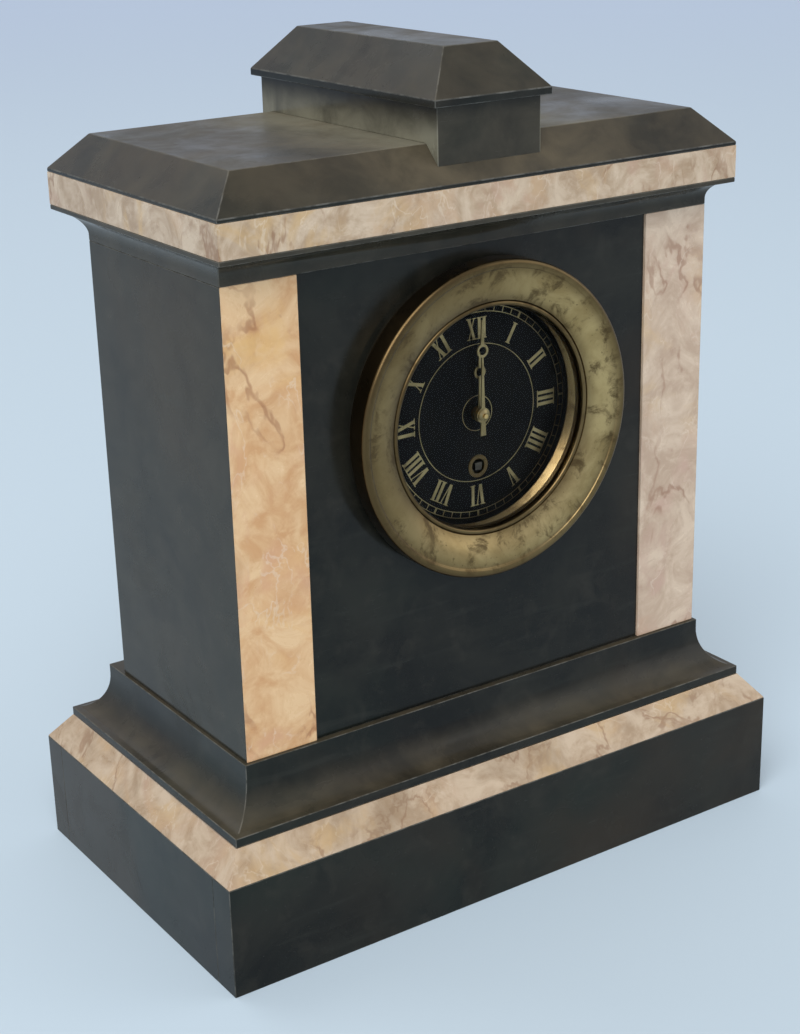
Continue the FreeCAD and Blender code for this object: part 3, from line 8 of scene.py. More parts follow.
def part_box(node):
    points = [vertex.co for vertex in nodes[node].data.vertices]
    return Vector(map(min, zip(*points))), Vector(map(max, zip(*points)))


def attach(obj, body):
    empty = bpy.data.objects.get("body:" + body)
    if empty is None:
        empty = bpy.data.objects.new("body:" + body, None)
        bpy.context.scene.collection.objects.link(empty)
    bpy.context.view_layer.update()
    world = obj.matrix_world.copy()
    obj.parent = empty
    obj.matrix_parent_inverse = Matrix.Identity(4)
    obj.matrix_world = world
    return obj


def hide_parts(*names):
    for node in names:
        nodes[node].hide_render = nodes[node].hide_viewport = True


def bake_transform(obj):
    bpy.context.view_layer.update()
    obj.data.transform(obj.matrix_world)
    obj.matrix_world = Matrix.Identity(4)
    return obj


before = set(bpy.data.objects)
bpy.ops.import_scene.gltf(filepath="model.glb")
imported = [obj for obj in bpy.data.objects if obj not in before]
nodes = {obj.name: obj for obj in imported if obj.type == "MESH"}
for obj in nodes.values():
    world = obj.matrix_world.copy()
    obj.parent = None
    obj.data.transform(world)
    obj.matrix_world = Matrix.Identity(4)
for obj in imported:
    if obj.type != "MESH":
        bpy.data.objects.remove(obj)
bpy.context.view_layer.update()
MM = 0.001


# The camera stands to the front left and a little above, as in the photograph. Its angles, distance
# and focal length come from the corners of the case. The clock stands on a plain pale blue floor.
CAMERA_AZIMUTH = math.radians(-33.8)
CAMERA_ELEVATION = math.radians(20.3)
CAMERA_ROLL = math.radians(-1.5)
CAMERA_DISTANCE = 0.8641
CAMERA_TARGET = Vector((-0.0027, 0.0, 0.1514))
IMAGE_LONG_SIDE = 1034
FOCAL_PIXELS = 1898.7
FLOOR_NEAR = (0.54, 0.65, 0.74, 1)
FLOOR_FAR = (0.55, 0.66, 0.83, 1)
FLOOR_FADE = (0.5, 5.0)
FLOOR_HALF = 14.0

camera_data = bpy.data.cameras.new("camera")
camera_data.sensor_width = 36.0
camera_data.lens = FOCAL_PIXELS * camera_data.sensor_width / IMAGE_LONG_SIDE
camera_data.clip_start = 0.01
camera = bpy.data.objects.new("camera", camera_data)
bpy.context.scene.collection.objects.link(camera)
towards_camera = Vector(
    (
        math.sin(CAMERA_AZIMUTH) * math.cos(CAMERA_ELEVATION),
        -math.cos(CAMERA_AZIMUTH) * math.cos(CAMERA_ELEVATION),
        math.sin(CAMERA_ELEVATION),
    )
)
camera.location = CAMERA_TARGET + towards_camera * CAMERA_DISTANCE
camera.rotation_mode = "QUATERNION"
level = (-towards_camera).to_track_quat("-Z", "Y")
camera.rotation_quaternion = level @ Matrix.Rotation(CAMERA_ROLL, 3, "Z").to_quaternion()
bpy.context.scene.camera = camera
bpy.context.scene.view_settings.view_transform = "Standard"


class Value:
    """A number that a material works out. Sums on it add Math nodes."""

    def __init__(self, finish, socket):
        self.finish = finish
        self.socket = socket

    def math(self, operation, *values):
        sockets = dict(enumerate(values))
        return self.finish.node("ShaderNodeMath", {"operation": operation}, sockets)

    def __add__(self, other):
        return self.math("ADD", self, other)

    def __radd__(self, other):
        return self.math("ADD", other, self)

    def __sub__(self, other):
        return self.math("SUBTRACT", self, other)

    def __rsub__(self, other):
        return self.math("SUBTRACT", other, self)

    def __mul__(self, other):
        return self.math("MULTIPLY", self, other)

    def __rmul__(self, other):
        return self.math("MULTIPLY", other, self)

    def __truediv__(self, other):
        return self.math("DIVIDE", self, other)

    def __abs__(self):
        return self.math("ABSOLUTE", self)

    def above(self, low, high):
        """0 below the low value, 1 above the high one, and a smooth step between."""
        settings = {"interpolation_type": "SMOOTHSTEP"}
        return self.finish.node("ShaderNodeMapRange", settings, {0: self, 1: low, 2: high, 3: 0, 4: 1})


class Finish:
    """A surface finish: one Principled shader, and the patterns that feed it."""

    def __init__(self, name, tree=None):
        if tree is None:
            self.material = bpy.data.materials.new(name)
            self.material.use_nodes = True
            tree = self.material.node_tree
        self.tree = tree
        self.shader = tree.nodes.get("Principled BSDF")

    def node(self, kind, settings, sockets, out=0):
        """Adds a node, makes its settings, then fills its sockets with values or links."""
        made = self.tree.nodes.new(kind)
        for name, value in settings.items():
            setattr(made, name, value)
        for name, value in sockets.items():
            self.feed(made.inputs[name], value)
        return Value(self, made.outputs[out])

    def feed(self, socket, value):
        """Fills any socket, with a link from a worked out value or else with the number itself."""
        if isinstance(value, Value):
            self.tree.links.new(value.socket, socket)
        else:
            socket.default_value = value

    def set(self, **sockets):
        """Fills the shader's own sockets. An underscore stands for a space."""
        for name, value in sockets.items():
            self.feed(self.shader.inputs[name.replace("_", " ")], value)

    def place(self, scale=(1, 1, 1), turn=(0, 0, 0), move=(0, 0, 0)):
        """Where a point of the surface is, in the object's own metres, stretched or turned."""
        here = self.node("ShaderNodeTexCoord", {}, {}, "Object")
        sockets = {"Vector": here, "Location": move, "Rotation": turn, "Scale": scale}
        return self.node("ShaderNodeMapping", {}, sockets)

    def noise(self, where, scale, detail, rough, distortion=0.0):
        """Clouds between 0 and 1. The scale is how many there are to a metre."""
        sockets = {"Vector": where, "Scale": scale, "Detail": detail, "Roughness": rough}
        sockets["Distortion"] = distortion
        return self.node("ShaderNodeTexNoise", {}, sockets)

    def mix(self, factor, first, second):
        """The first colour where the factor is 0, the second where it is 1."""
        sockets = {0: factor, 6: first, 7: second}
        return self.node("ShaderNodeMix", {"data_type": "RGBA"}, sockets, 2)

    def length(self, where):
        """How far a place is from the middle of its pattern."""
        return self.node("ShaderNodeVectorMath", {"operation": "LENGTH"}, {0: where}, "Value")

    def painted(self, name):
        """A number that was laid on a mesh's faces, such as wear along its edges."""
        return self.node("ShaderNodeAttribute", {"attribute_name": name}, {}, "Fac")

    def upward(self):
        """1 where the surface faces straight up, 0 on an upright one, below 0 under a ledge."""
        facing = self.node("ShaderNodeTexCoord", {}, {}, "Normal")
        return self.node("ShaderNodeSeparateXYZ", {}, {0: facing}, "Z")

    def bump(self, height, depth):
        """Small relief. The depth is in metres, and below 0 it cuts in."""
        sockets = {"Height": height, "Distance": depth, "Strength": 1.0}
        self.set(Normal=self.node("ShaderNodeBump", {}, sockets))


def new_piece(name, shape, material, smooth_angle=None):
    """Turns a bmesh into a finished object with its place in its mesh."""
    mesh = bpy.data.meshes.new(name)
    shape.to_mesh(mesh)
    shape.free()
    mesh.materials.append(material)
    if smooth_angle is not None:
        mesh.shade_smooth()
        mesh.set_sharp_from_angle(angle=math.radians(smooth_angle))
    piece = bpy.data.objects.new(name, mesh)
    bpy.context.scene.collection.objects.link(piece)
    if smooth_angle is not None:
        even = piece.modifiers.new("even_normals", "WEIGHTED_NORMAL")
        even.keep_sharp = True
    return piece


floor_shape = bmesh.new()
bmesh.ops.create_grid(floor_shape, x_segments=1, y_segments=1, size=FLOOR_HALF)
floor_finish = Finish("pale_floor")
distance = floor_finish.length(floor_finish.place())
floor_finish.set(
    Base_Color=floor_finish.mix(distance.above(*FLOOR_FADE), FLOOR_NEAR, FLOOR_FAR),
    Roughness=0.6,
    Specular_IOR_Level=0.2,
)
floor = new_piece("floor", floor_shape, floor_finish.material)


# Soft studio light. A broad far lamp lights everything evenly from the upper left of the front. Three
# nearer ones give the polish something to show, and the pale world lights the shaded sides. What
# the camera, the polish and the glass show of the world is the pale blue of the background.
WORLD_LIGHT = (0.80, 0.80, 0.81, 1)
WORLD_SHOWN = (0.55, 0.61, 0.71, 1)
WORLD_STRENGTH = 0.55


def add_lamp(name, kind, place, size, power):
    """A lamp that points at the clock. Its size is an angle if it is far, or else a width."""
    lamp_data = bpy.data.lights.new(name, kind)
    lamp_data.energy = power
    if kind == "SUN":
        lamp_data.angle = size
    else:
        lamp_data.size = size
    lamp = bpy.data.objects.new(name, lamp_data)
    lamp.location = place
    lamp.rotation_mode = "QUATERNION"
    lamp.rotation_quaternion = (CAMERA_TARGET - Vector(place)).to_track_quat("-Z", "Y")
    bpy.context.scene.collection.objects.link(lamp)


add_lamp("broad", "SUN", place=(-2.0, -2.0, 3.4), size=math.radians(50), power=1.6)
add_lamp("key", "AREA", place=(-1.3, -1.3, 1.7), size=1.6, power=17.0)
add_lamp("fill", "AREA", place=(1.6, -1.1, 0.9), size=1.4, power=6.0)
add_lamp("back", "AREA", place=(-0.6, 1.5, 2.3), size=1.4, power=9.0)

world = bpy.data.worlds.new("studio")
world.use_nodes = True
bpy.context.scene.world = world
sky = Finish("studio", world.node_tree)
camera_ray, glossy_ray, transmission_ray = (
    sky.node("ShaderNodeLightPath", {}, {}, kind)
    for kind in ("Is Camera Ray", "Is Glossy Ray", "Is Transmission Ray")
)
shown = camera_ray + glossy_ray + transmission_ray
background = world.node_tree.nodes["Background"]
sky.feed(background.inputs["Color"], sky.mix(shown, WORLD_LIGHT, WORLD_SHOWN))
sky.feed(background.inputs["Strength"], WORLD_STRENGTH + (1 - WORLD_STRENGTH) * shown)


# The plinth is four slabs of black slate, cemented into a hollow box. Like all the slate here it is
# sawn, polished nearly black and clouded, with a few hairlines. It is rubbed grey along its edges,
# and dust lies on what faces up.
STONE_EDGE = 0.35 * MM
MERGE = 0.002 * MM
FLAT_ANGLE = 0.3
SHARP_ANGLE = 25
SMOOTH_ANGLE = 30
WORN = "worn"
SLATE_BLACK = (0.0045, 0.0050, 0.0044, 1)
SLATE_GREY = (0.0160, 0.0158, 0.0122, 1)
SLATE_GREEN = (0.0085, 0.0165, 0.0125, 1)
SLATE_BROWN = (0.030, 0.0205, 0.0118, 1)
SLATE_MOTTLE = (0.034, 0.031, 0.024, 1)
SLATE_BED = (0.026, 0.027, 0.022, 1)
SLATE_SPECK = (0.085, 0.088, 0.08, 1)
RUBBED_SLATE = (0.10, 0.10, 0.09, 1)
DULL_POLISH = (0.100, 0.086, 0.060, 1)
BROWN_DUST = (0.125, 0.100, 0.062, 1)
# The pale colour of a painted sheen on the top block and beside it.
PAINTED_SHEEN_PALE = (0.215, 0.205, 0.150, 1)


def worn_copy(node, width):
    """A copy of a CAD node with its outer edges rounded. The rounded strips are marked as worn."""
    shape = bmesh.new()
    shape.from_mesh(nodes[node].data)
    bmesh.ops.remove_doubles(shape, verts=shape.verts, dist=MERGE)
    bmesh.ops.dissolve_limit(
        shape,
        angle_limit=math.radians(FLAT_ANGLE),
        verts=shape.verts,
        edges=shape.edges,
        delimit={"NORMAL"},
    )
    sharp_edges = [
        edge
        for edge in shape.edges
        if len(edge.link_faces) == 2
        and edge.is_convex
        and edge.calc_face_angle() > math.radians(SHARP_ANGLE)
    ]
    worn = shape.faces.layers.float.new(WORN)
    made = bmesh.ops.bevel(
        shape,
        geom=sharp_edges,
        offset=width,
        offset_type="OFFSET",
        affect="EDGES",
        segments=2,
        profile=0.5,
        material=-1,
        clamp_overlap=True,
    )
    for face in made["faces"]:
        face[worn] = 1.0
    return shape


def slate(name, bloom=0.0, foot_dust_and_sheen=None, painted_sheen_side=None):
    """Polished black slate: brown and green clouds, pale specks, dust on what faces up.

    Bloom is how far the polish has gone dull. The foot is how far from the middle the sides of a block
    stand on this slab, with brown dust along them and a pale painted sheen on level faces near them.
    The side is how far from the middle that side is, and the heights between which a pale painted
    sheen on it fades to black."""
    finish = Finish(name)
    here = finish.place()
    cloud = finish.noise(here, 13, 7, 0.66, 0.6)
    colour = finish.mix(cloud.above(0.34, 0.64), SLATE_BLACK, SLATE_GREY)
    green = finish.noise(finish.place(move=(3, 1, 2)), 8, 4, 0.55, 0.4).above(0.48, 0.66)
    colour = finish.mix(green * 0.4, colour, SLATE_GREEN)
    patch = finish.noise(here, 5.5, 4, 0.55, 0.5).above(0.47, 0.68)
    colour = finish.mix(patch * 0.7, colour, SLATE_BROWN)
    mottle = finish.noise(here, 75, 5, 0.6, 0.4).above(0.50, 0.74)
    colour = finish.mix(mottle * 0.35, colour, SLATE_MOTTLE)
    bed = finish.noise(finish.place(scale=(1, 1, 9)), 16, 4, 0.6, 0.3).above(0.55, 0.72)
    colour = finish.mix(bed * 0.35, colour, SLATE_BED)
    speck = finish.noise(here, 900, 2, 0.5).above(0.70, 0.80)
    colour = finish.mix(speck * 0.3, colour, SLATE_SPECK)
    rub = finish.noise(here, 160, 5, 0.65).above(0.40, 0.62)
    wear = finish.painted(WORN) * (0.2 + 0.7 * rub)
    colour = finish.mix(wear, colour, RUBBED_SLATE)
    upward = finish.upward().above(0.15, 0.95)
    settled = finish.noise(here, 34, 5, 0.65, 0.4).above(0.3, 0.7)
    dust = upward * (0.35 + 0.65 * settled)
    if foot_dust_and_sheen is not None:
        across = finish.node("ShaderNodeSeparateXYZ", {}, {0: here}, "X")
        away = abs(abs(across) - foot_dust_and_sheen)
        dust = dust + 1.1 * upward * (1 - away.above(4 * MM, 75 * MM)) * (0.5 + 0.5 * settled)
    colour = finish.mix(dust * 0.42, colour, BROWN_DUST)
    haze = finish.noise(here, 48, 5, 0.6, 0.5).above(0.25, 0.7)
    # Level faces near the block's foot get a pale painted sheen.
    if foot_dust_and_sheen is not None:
        level = finish.upward().above(0.85, 0.98)
        sheen_near_foot = level * (1 - away.above(3 * MM, 50 * MM)) * (0.35 + 0.65 * haze)
        colour = finish.mix(sheen_near_foot * 0.62, colour, PAINTED_SHEEN_PALE)
    if bloom:
        colour = finish.mix(bloom * (0.4 + 0.6 * haze), colour, DULL_POLISH)
    # The block's sides get a pale painted sheen, which fades to black upwards.
    if painted_sheen_side is not None:
        side, foot, top = painted_sheen_side
        across, height = (
            finish.node("ShaderNodeSeparateXYZ", {}, {0: here}, axis) for axis in ("X", "Z")
        )
        on_side = abs(across).above(side - 0.6 * MM, side - 0.2 * MM)
        pale = on_side * (1 - height.above(foot, top)) * (0.35 + 0.65 * haze)
        colour = finish.mix(pale, colour, PAINTED_SHEEN_PALE)
    smear = finish.noise(here, 26, 5, 0.62, 0.5).above(0.35, 0.75)
    scratch_place = finish.place(scale=(1, 1, 16), turn=(0.2, 0.9, 0.1))
    scratch = finish.noise(scratch_place, 70, 3, 0.7).above(0.64, 0.76)
    finish.set(
        Base_Color=colour,
        Roughness=0.14 + 0.20 * smear + 0.10 * scratch + 0.3 * wear + 0.22 * dust,
        Specular_IOR_Level=0.22,
    )
    relief = finish.noise(here, 300, 4, 0.6) + 0.6 * finish.noise(here, 34, 2, 0.5)
    finish.bump(relief, 0.012 * MM)
    return finish.material


slate_finish = slate("black_slate")


def dress_stone(node, material):
    """Replaces a slab of the case by a copy with worn edges."""
    piece = new_piece(node + "_stone", worn_copy(node, STONE_EDGE), material, SMOOTH_ANGLE)
    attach(piece, "case")
    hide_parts(node)


for slab in ("plinth_front_slab", "plinth_back_slab", "plinth_side_slabs"):
    dress_stone(slab, slate_finish)


# A bevelled band of tan marble runs round the top of the plinth, in four mitred strips cemented to
# the slate. Its stone is paler and pinker than the pilasters', clouded, with rusty veins.
QUARTZ = (0.80, 0.70, 0.56, 1)
RUBBED_MARBLE = (0.46, 0.38, 0.30, 1)
MARBLE_GRIME = (0.24, 0.16, 0.09, 1)
MARBLE_DUST = (0.235, 0.165, 0.100, 1)


def marble(name, pale, body, gold, rose, rust, scale):
    """Polished clouded marble: drifts of four tones, thin broken veins, pale hairlines and grime."""
    finish = Finish(name)
    here = finish.place()
    warp = finish.noise(here, 30 * scale, 4, 0.6, 1.5)
    drift = finish.noise(here, 55 * scale, 6, 0.62, 1.2)
    broad = finish.noise(here, 13 * scale, 3, 0.5, 0.6)
    tone = finish.mix(broad.above(0.40, 0.62), rose, gold)
    colour = finish.mix(drift.above(0.34, 0.66), body, pale)
    colour = finish.mix(warp.above(0.44, 0.66) * 0.8, colour, tone)
    fine = finish.noise(here, 190 * scale, 5, 0.6, 0.8)
    colour = finish.mix(fine.above(0.50, 0.70) * 0.5, colour, pale)
    crumb = finish.noise(here, 420 * scale, 4, 0.6, 0.5).above(0.56, 0.72)
    colour = finish.mix(crumb * 0.3, colour, body)
    slanted = finish.place(scale=(1, 1.2, 0.55), turn=(0.3, 0.7, 0.2))
    line = abs(finish.noise(slanted, 24 * scale, 5, 0.55, 0.35) - 0.5)
    vein = 1 - line.above(0.002, 0.017)
    broken = finish.noise(here, 42 * scale, 3, 0.5).above(0.42, 0.6)
    colour = finish.mix(vein * broken * 0.62, colour, rust)
    hair = abs(finish.noise(slanted, 85 * scale, 4, 0.5, 0.5) - 0.5)
    hairline = (1 - hair.above(0.002, 0.016)) * warp.above(0.44, 0.58)
    colour = finish.mix(hairline * 0.3, colour, QUARTZ)
    wear = finish.painted(WORN) * finish.noise(here, 220, 4, 0.6).above(0.4, 0.62)
    colour = finish.mix(wear * 0.45, colour, RUBBED_MARBLE)
    grime = finish.noise(here, 24, 5, 0.6, 0.5).above(0.5, 0.75)
    colour = finish.mix(grime * 0.2, colour, MARBLE_GRIME)
    dust = finish.upward().above(0.2, 0.9) * (0.4 + 0.6 * grime)
    colour = finish.mix(dust * 0.9, colour, MARBLE_DUST)
    dulled = 0.12 * grime + 0.1 * vein * broken + 0.1 * dust
    finish.set(
        Base_Color=colour,
        Roughness=0.2 + 0.12 * drift + 0.2 * wear + dulled,
        Specular_IOR_Level=0.4,
    )
    finish.bump(fine + 1.5 * vein * broken, -0.015 * MM)
    return finish.material


band_marble = marble(
    "band_marble",
    pale=(0.60, 0.475, 0.345, 1),
    body=(0.39, 0.272, 0.170, 1),
    gold=(0.56, 0.38, 0.19, 1),
    rose=(0.46, 0.30, 0.215, 1),
    rust=(0.24, 0.12, 0.06, 1),
    scale=1.0,
)
dress_stone("base_marble_band", band_marble)


# The foot of the case is one slate slab with a hollow moulding on all four sides. It is let into the
# marble band, and the body stands on it.
dress_stone("foot_moulding", slate_finish)


# The body is a box of slate slabs, the side ones less polished. At each front corner a marble
# pilaster meets the side slab in a mitre, and the front slab lies a little back between the two.
# The right pilaster is cut from a greyer piece.
for slab in ("front_panel", "back_panel"):
    dress_stone(slab, slate_finish)
side_slate = slate("side_slate", bloom=0.24)
for slab in ("left_panel", "right_panel"):
    dress_stone(slab, side_slate)

pilaster_marble = marble(
    "pilaster_marble",
    pale=(0.76, 0.52, 0.29, 1),
    body=(0.60, 0.33, 0.15, 1),
    gold=(0.74, 0.46, 0.18, 1),
    rose=(0.62, 0.34, 0.21, 1),
    rust=(0.33, 0.14, 0.06, 1),
    scale=0.8,
)
dress_stone("pilaster_left", pilaster_marble)
greyer_marble = marble(
    "greyer_marble",
    pale=(0.66, 0.52, 0.39, 1),
    body=(0.49, 0.355, 0.255, 1),
    gold=(0.59, 0.42, 0.25, 1),
    rose=(0.53, 0.355, 0.275, 1),
    rust=(0.29, 0.15, 0.09, 1),
    scale=0.8,
)
dress_stone("pilaster_right", greyer_marble)


# The cornice: a slate moulding that flares out under a flat band of marble, then the slate roof with
# its four slopes. The band has four mitred strips, as the base has.
block_side, _, block_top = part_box("top_block")[1]
dress_stone("cornice_moulding", slate("cornice_slate", bloom=0.4))
dress_stone("cornice_marble_band", band_marble)
# The roof gets brown dust along the block's foot, and a pale painted sheen beside it.
dress_stone("roof_slab", slate("roof_slate", foot_dust_and_sheen=block_side))


# A narrow block of slate runs from front to back over the roof, cemented to it, under a lid with four
# slopes. The lower part of the block's sides carries a pale painted sheen.
roof_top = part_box("roof_slab")[1][2]
block_slate = slate("block_slate", bloom=0.42, painted_sheen_side=(block_side, roof_top, block_top))
dress_stone("top_block", block_slate)
dress_stone("top_block_lid", slate_finish)


# The bezel is cast brass, turned and once gilt: an upright wall, a rounded crown and a broad slope
# down to the glass. It is brown in patches. A bright band round the slope is a painted highlight, and
# the brass is painted brown as shade away from it and on the upper left.
DIAL_CENTRE = Vector((0, 0, 0.214))
# The side where the bezel is painted darker as shade: the upper left.
PAINTED_SHADE_SIDE = (-0.9, 0, 0.4)
RINGS_PER_METRE = 4200


def gilt(name, bright, dull, brown, tarnish, ring_depth, painted_highlight_radius=None):
    """Turned brass with old gilding: rings from the lathe, brown tarnish and small dark spots.

    Round a given radius it is bright, a painted highlight. Away from that and towards the upper left
    it is painted brown as shade."""
    finish = Finish(name)
    here = finish.place(move=tuple(-DIAL_CENTRE))
    flat = finish.node("ShaderNodeVectorMath", {"operation": "MULTIPLY"}, {0: here, 1: (1, 0, 1)})
    radius = finish.length(flat)
    across = finish.node("ShaderNodeCombineXYZ", {}, {"X": radius * RINGS_PER_METRE})
    rings = finish.noise(across, 1.0, 3, 0.6)
    patch = finish.noise(here, 38, 6, 0.65, 0.7)
    colour = finish.mix(patch.above(0.35, 0.65), dull, bright)
    stain = finish.noise(here, 95, 6, 0.7, 0.5).above(0.5, 0.7)
    colour = finish.mix(stain * tarnish, colour, brown)
    spot = finish.noise(here, 620, 3, 0.5).above(0.66, 0.74)
    colour = finish.mix(spot * tarnish, colour, brown)
    # A bright band round the given radius is a painted highlight. Away from it, and towards the upper
    # left, the brass is painted brown as shade.
    if painted_highlight_radius is not None:
        off_highlight = abs(radius - painted_highlight_radius) + 4.5 * MM * stain
        colour = finish.mix(off_highlight.above(1.5 * MM, 10.2 * MM) * 0.88, colour, brown)
        settings = {"operation": "DOT_PRODUCT"}
        sockets = {0: flat, 1: PAINTED_SHADE_SIDE}
        shade_side_share = finish.node("ShaderNodeVectorMath", settings, sockets, "Value")
        shade = (shade_side_share / radius + 0.9 * patch).above(-0.1, 1.35)
        colour = finish.mix(shade * 0.62, colour, brown)
    finish.set(
        Base_Color=colour,
        Metallic=1.0,
        Roughness=0.2 + 0.12 * patch + 0.24 * stain * tarnish + 0.07 * rings,
    )
    finish.bump(rings + 0.5 * stain, ring_depth)
    return finish.material


bezel_gilt = gilt(
    "bezel_gilt",
    bright=(0.51, 0.375, 0.170, 1),
    dull=(0.33, 0.230, 0.095, 1),
    brown=(0.085, 0.055, 0.024, 1),
    tarnish=0.6,
    ring_depth=0.012 * MM,
    painted_highlight_radius=57.5 * MM,
)


def dress(material, *names):
    """Gives CAD nodes a better material and leaves their shape."""
    for name in names:
        mesh = nodes[name].data
        mesh.materials.clear()
        mesh.materials.append(material)
        mesh.shade_smooth()
        mesh.set_sharp_from_angle(angle=math.radians(SMOOTH_ANGLE))


def add_turned(shape, outline, steps):
    """Spins a closed outline, in radius and Y in millimetres, round the dial's axis."""
    places = [DIAL_CENTRE + Vector((radius * MM, y * MM, 0)) for radius, y in outline]
    corners = [shape.verts.new(place) for place in places]
    edges = [shape.edges.new((corners[i - 1], corners[i])) for i in range(len(corners))]
    bmesh.ops.spin(
        shape,
        geom=corners + edges,
        cent=DIAL_CENTRE,
        axis=(0, 1, 0),
        angle=2 * math.pi,
        steps=steps,
        use_merge=True,
    )
    bmesh.ops.recalc_face_normals(shape, faces=shape.faces)


def arc(start, end, steps, radius_first):
    """Points of a quarter ellipse between two corners, without the first.

    It leaves the first corner along the radius, or else along Y."""
    points = []
    for step in range(1, steps + 1):
        turn = math.pi / 2 * step / steps
        first, second = math.sin(turn), 1 - math.cos(turn)
        if not radius_first:
            first, second = second, first
        radius = start[0] + (end[0] - start[0]) * first
        points.append((radius, start[1] + (end[1] - start[1]) * second))
    return points


def half_round(middle, half_width, base, height):
    """Points of a half round bead, from its outer foot over its top to its inner foot."""
    turns = [math.pi * step / BEAD_STEPS for step in range(BEAD_STEPS + 1)]
    return [(middle + half_width * math.cos(turn), base + height * math.sin(turn)) for turn in turns]


def in_mm(corner):
    """A place or corner from metres to millimetres."""
    return [value / MM for value in corner]


bezel_low, bezel_high = (in_mm(corner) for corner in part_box("bezel"))
BEZEL_RADIUS = bezel_high[2] - DIAL_CENTRE.z / MM
BEZEL_FRONT = bezel_low[1]
BEZEL_BACK = bezel_high[1]
FOOT_INSET = 0.6
FOOT_RISE = 1.0
FOOT_RADIUS = BEZEL_RADIUS - FOOT_INSET
SIGHT_RADIUS = 48.0
BEAD = 1.05
BEAD_LIFT = 0.85
BEAD_STEPS = 8
GLASS_FRONT = in_mm(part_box("bezel_glass")[0])[1]
BORE_RADIUS = in_mm(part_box("glass_retaining_ring")[1])[0]

# From the back edge: an upright wall, a rounded crown, a step, the slope, a bead round the glass,
# then the seat of the glass and a groove that makes the casting lighter. The first four corners are
# given by how far in from the edge and back from the front they lie.
PROFILE = ((0, 1.6), (1.8, 0), (3.6, 0.6), (4.0, 0.9))
wall_top, crown, step_down, slope_start = (
    (BEZEL_RADIUS - inward, BEZEL_FRONT + backward) for inward, backward in PROFILE
)
BEAD_GAP = 0.3
SLOPE_LIFT = 1.6
slope_end = (SIGHT_RADIUS + 2 * BEAD + BEAD_GAP, GLASS_FRONT - SLOPE_LIFT)
CROWN_STEPS = 8
HOLLOW_STEPS = 5
SLOPE_STEPS = 14
SLOPE_SWELL = 0.75
outline = [(FOOT_RADIUS, BEZEL_BACK), (BEZEL_RADIUS, BEZEL_BACK - FOOT_RISE), wall_top]
outline += arc(wall_top, crown, CROWN_STEPS, radius_first=False)
outline += arc(crown, step_down, HOLLOW_STEPS, radius_first=True)
for step in range(SLOPE_STEPS + 1):
    share = step / SLOPE_STEPS
    radius = slope_start[0] + (slope_end[0] - slope_start[0]) * share
    straight = slope_start[1] + (slope_end[1] - slope_start[1]) * share
    outline.append((radius, straight - 4 * SLOPE_SWELL * share * (1 - share)))
outline += half_round(SIGHT_RADIUS + BEAD, BEAD, GLASS_FRONT - BEAD_LIFT, -BEAD)
outline += [(SIGHT_RADIUS, GLASS_FRONT), (BORE_RADIUS, GLASS_FRONT), (BORE_RADIUS, BEZEL_BACK)]
GROOVE_INNER = 54.0
GROOVE_OUTER = 65.0
GROOVE_DEPTH = 3.8
outline += [
    (GROOVE_INNER, BEZEL_BACK),
    (GROOVE_INNER, BEZEL_BACK - GROOVE_DEPTH),
    (GROOVE_OUTER, BEZEL_BACK - GROOVE_DEPTH),
    (GROOVE_OUTER, BEZEL_BACK),
]

BEZEL_STEPS = 240
bezel_shape = bmesh.new()
add_turned(bezel_shape, outline, BEZEL_STEPS)

# The bezel's hinge: a knuckle on the case's pin, with a leaf that joins it to the bezel's foot.
KNUCKLE_RADIUS = 1.5
KNUCKLE_HALF = 3.9
KNUCKLE_STEPS = 32
LEAF_LAP = 1.5
pin_low, pin_high = (in_mm(corner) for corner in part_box("bezel_hinge_pin"))
hinge_x = (pin_low[0] + pin_high[0]) / 2
hinge_y = (pin_low[1] + pin_high[1]) / 2
hinge_middle = Vector((hinge_x, hinge_y, 0)) * MM + Vector((0, 0, DIAL_CENTRE.z))
hinge_place = Matrix.Translation(hinge_middle)
bmesh.ops.create_cone(
    bezel_shape,
    cap_ends=True,
    segments=KNUCKLE_STEPS,
    radius1=KNUCKLE_RADIUS * MM,
    radius2=KNUCKLE_RADIUS * MM,
    depth=2 * KNUCKLE_HALF * MM,
    matrix=hinge_place,
)
leaf_reach = hinge_x - FOOT_RADIUS + LEAF_LAP
leaf_size = Matrix.Diagonal((leaf_reach * MM, KNUCKLE_RADIUS * MM, 2 * KNUCKLE_HALF * MM, 1))
leaf_move = Matrix.Translation(Vector((-leaf_reach / 2, -KNUCKLE_RADIUS / 2, 0)) * MM)
bmesh.ops.create_cube(bezel_shape, size=1, matrix=hinge_place @ leaf_move @ leaf_size)
BEZEL_SMOOTH_ANGLE = 35
bezel = new_piece("turned_bezel", bezel_shape, bezel_gilt, BEZEL_SMOOTH_ANGLE)
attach(bezel, "bezel")
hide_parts("bezel")

dress(bezel_gilt, "bezel_seat_ring", "glass_retaining_ring", "dial_slip_ring")
dress(bezel_gilt, "winding_hole_grommet")


# Numerals and minute track are gilt lines on the dial, raised a hair above the black. The numerals
# are Roman, with their feet towards the centre and a four of four strokes, as on most such dials.
# Where lines cross they rise by a different amount, so that no two faces lie in one plane.
HAIR_RISE = 0.10
STROKE_RISE = 0.12
SERIF_RISE = 0.14
SINK = 0.03
NUMERAL_FOOT = 32.0
NUMERAL_HEIGHT = 9.2
THICK = 1.45
THIN = 0.42
SERIF = 0.38
SERIF_INSET = 0.05
THICK_SERIF = THICK + 1.04
THIN_SERIF = THIN + 1.2
TRACK_INNER = 43.4
TRACK_OUTER = 46.0
TRACK_LINE = 0.28
INNER_RING = NUMERAL_FOOT - 2.2
CENTRE_RING = 7.5
RING_STEPS = 120
MINUTE_MARK = 0.3
FIVE_MINUTE_MARK = 0.95
LETTER_WIDTHS = {"I": 2.5, "V": 5.4, "X": 5.6}
NUMERALS = ("XII", "I", "II", "III", "IIII", "V", "VI", "VII", "VIII", "IX", "X", "XI")

dial_front = in_mm(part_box("dial")[0])[1]
marks = bmesh.new()


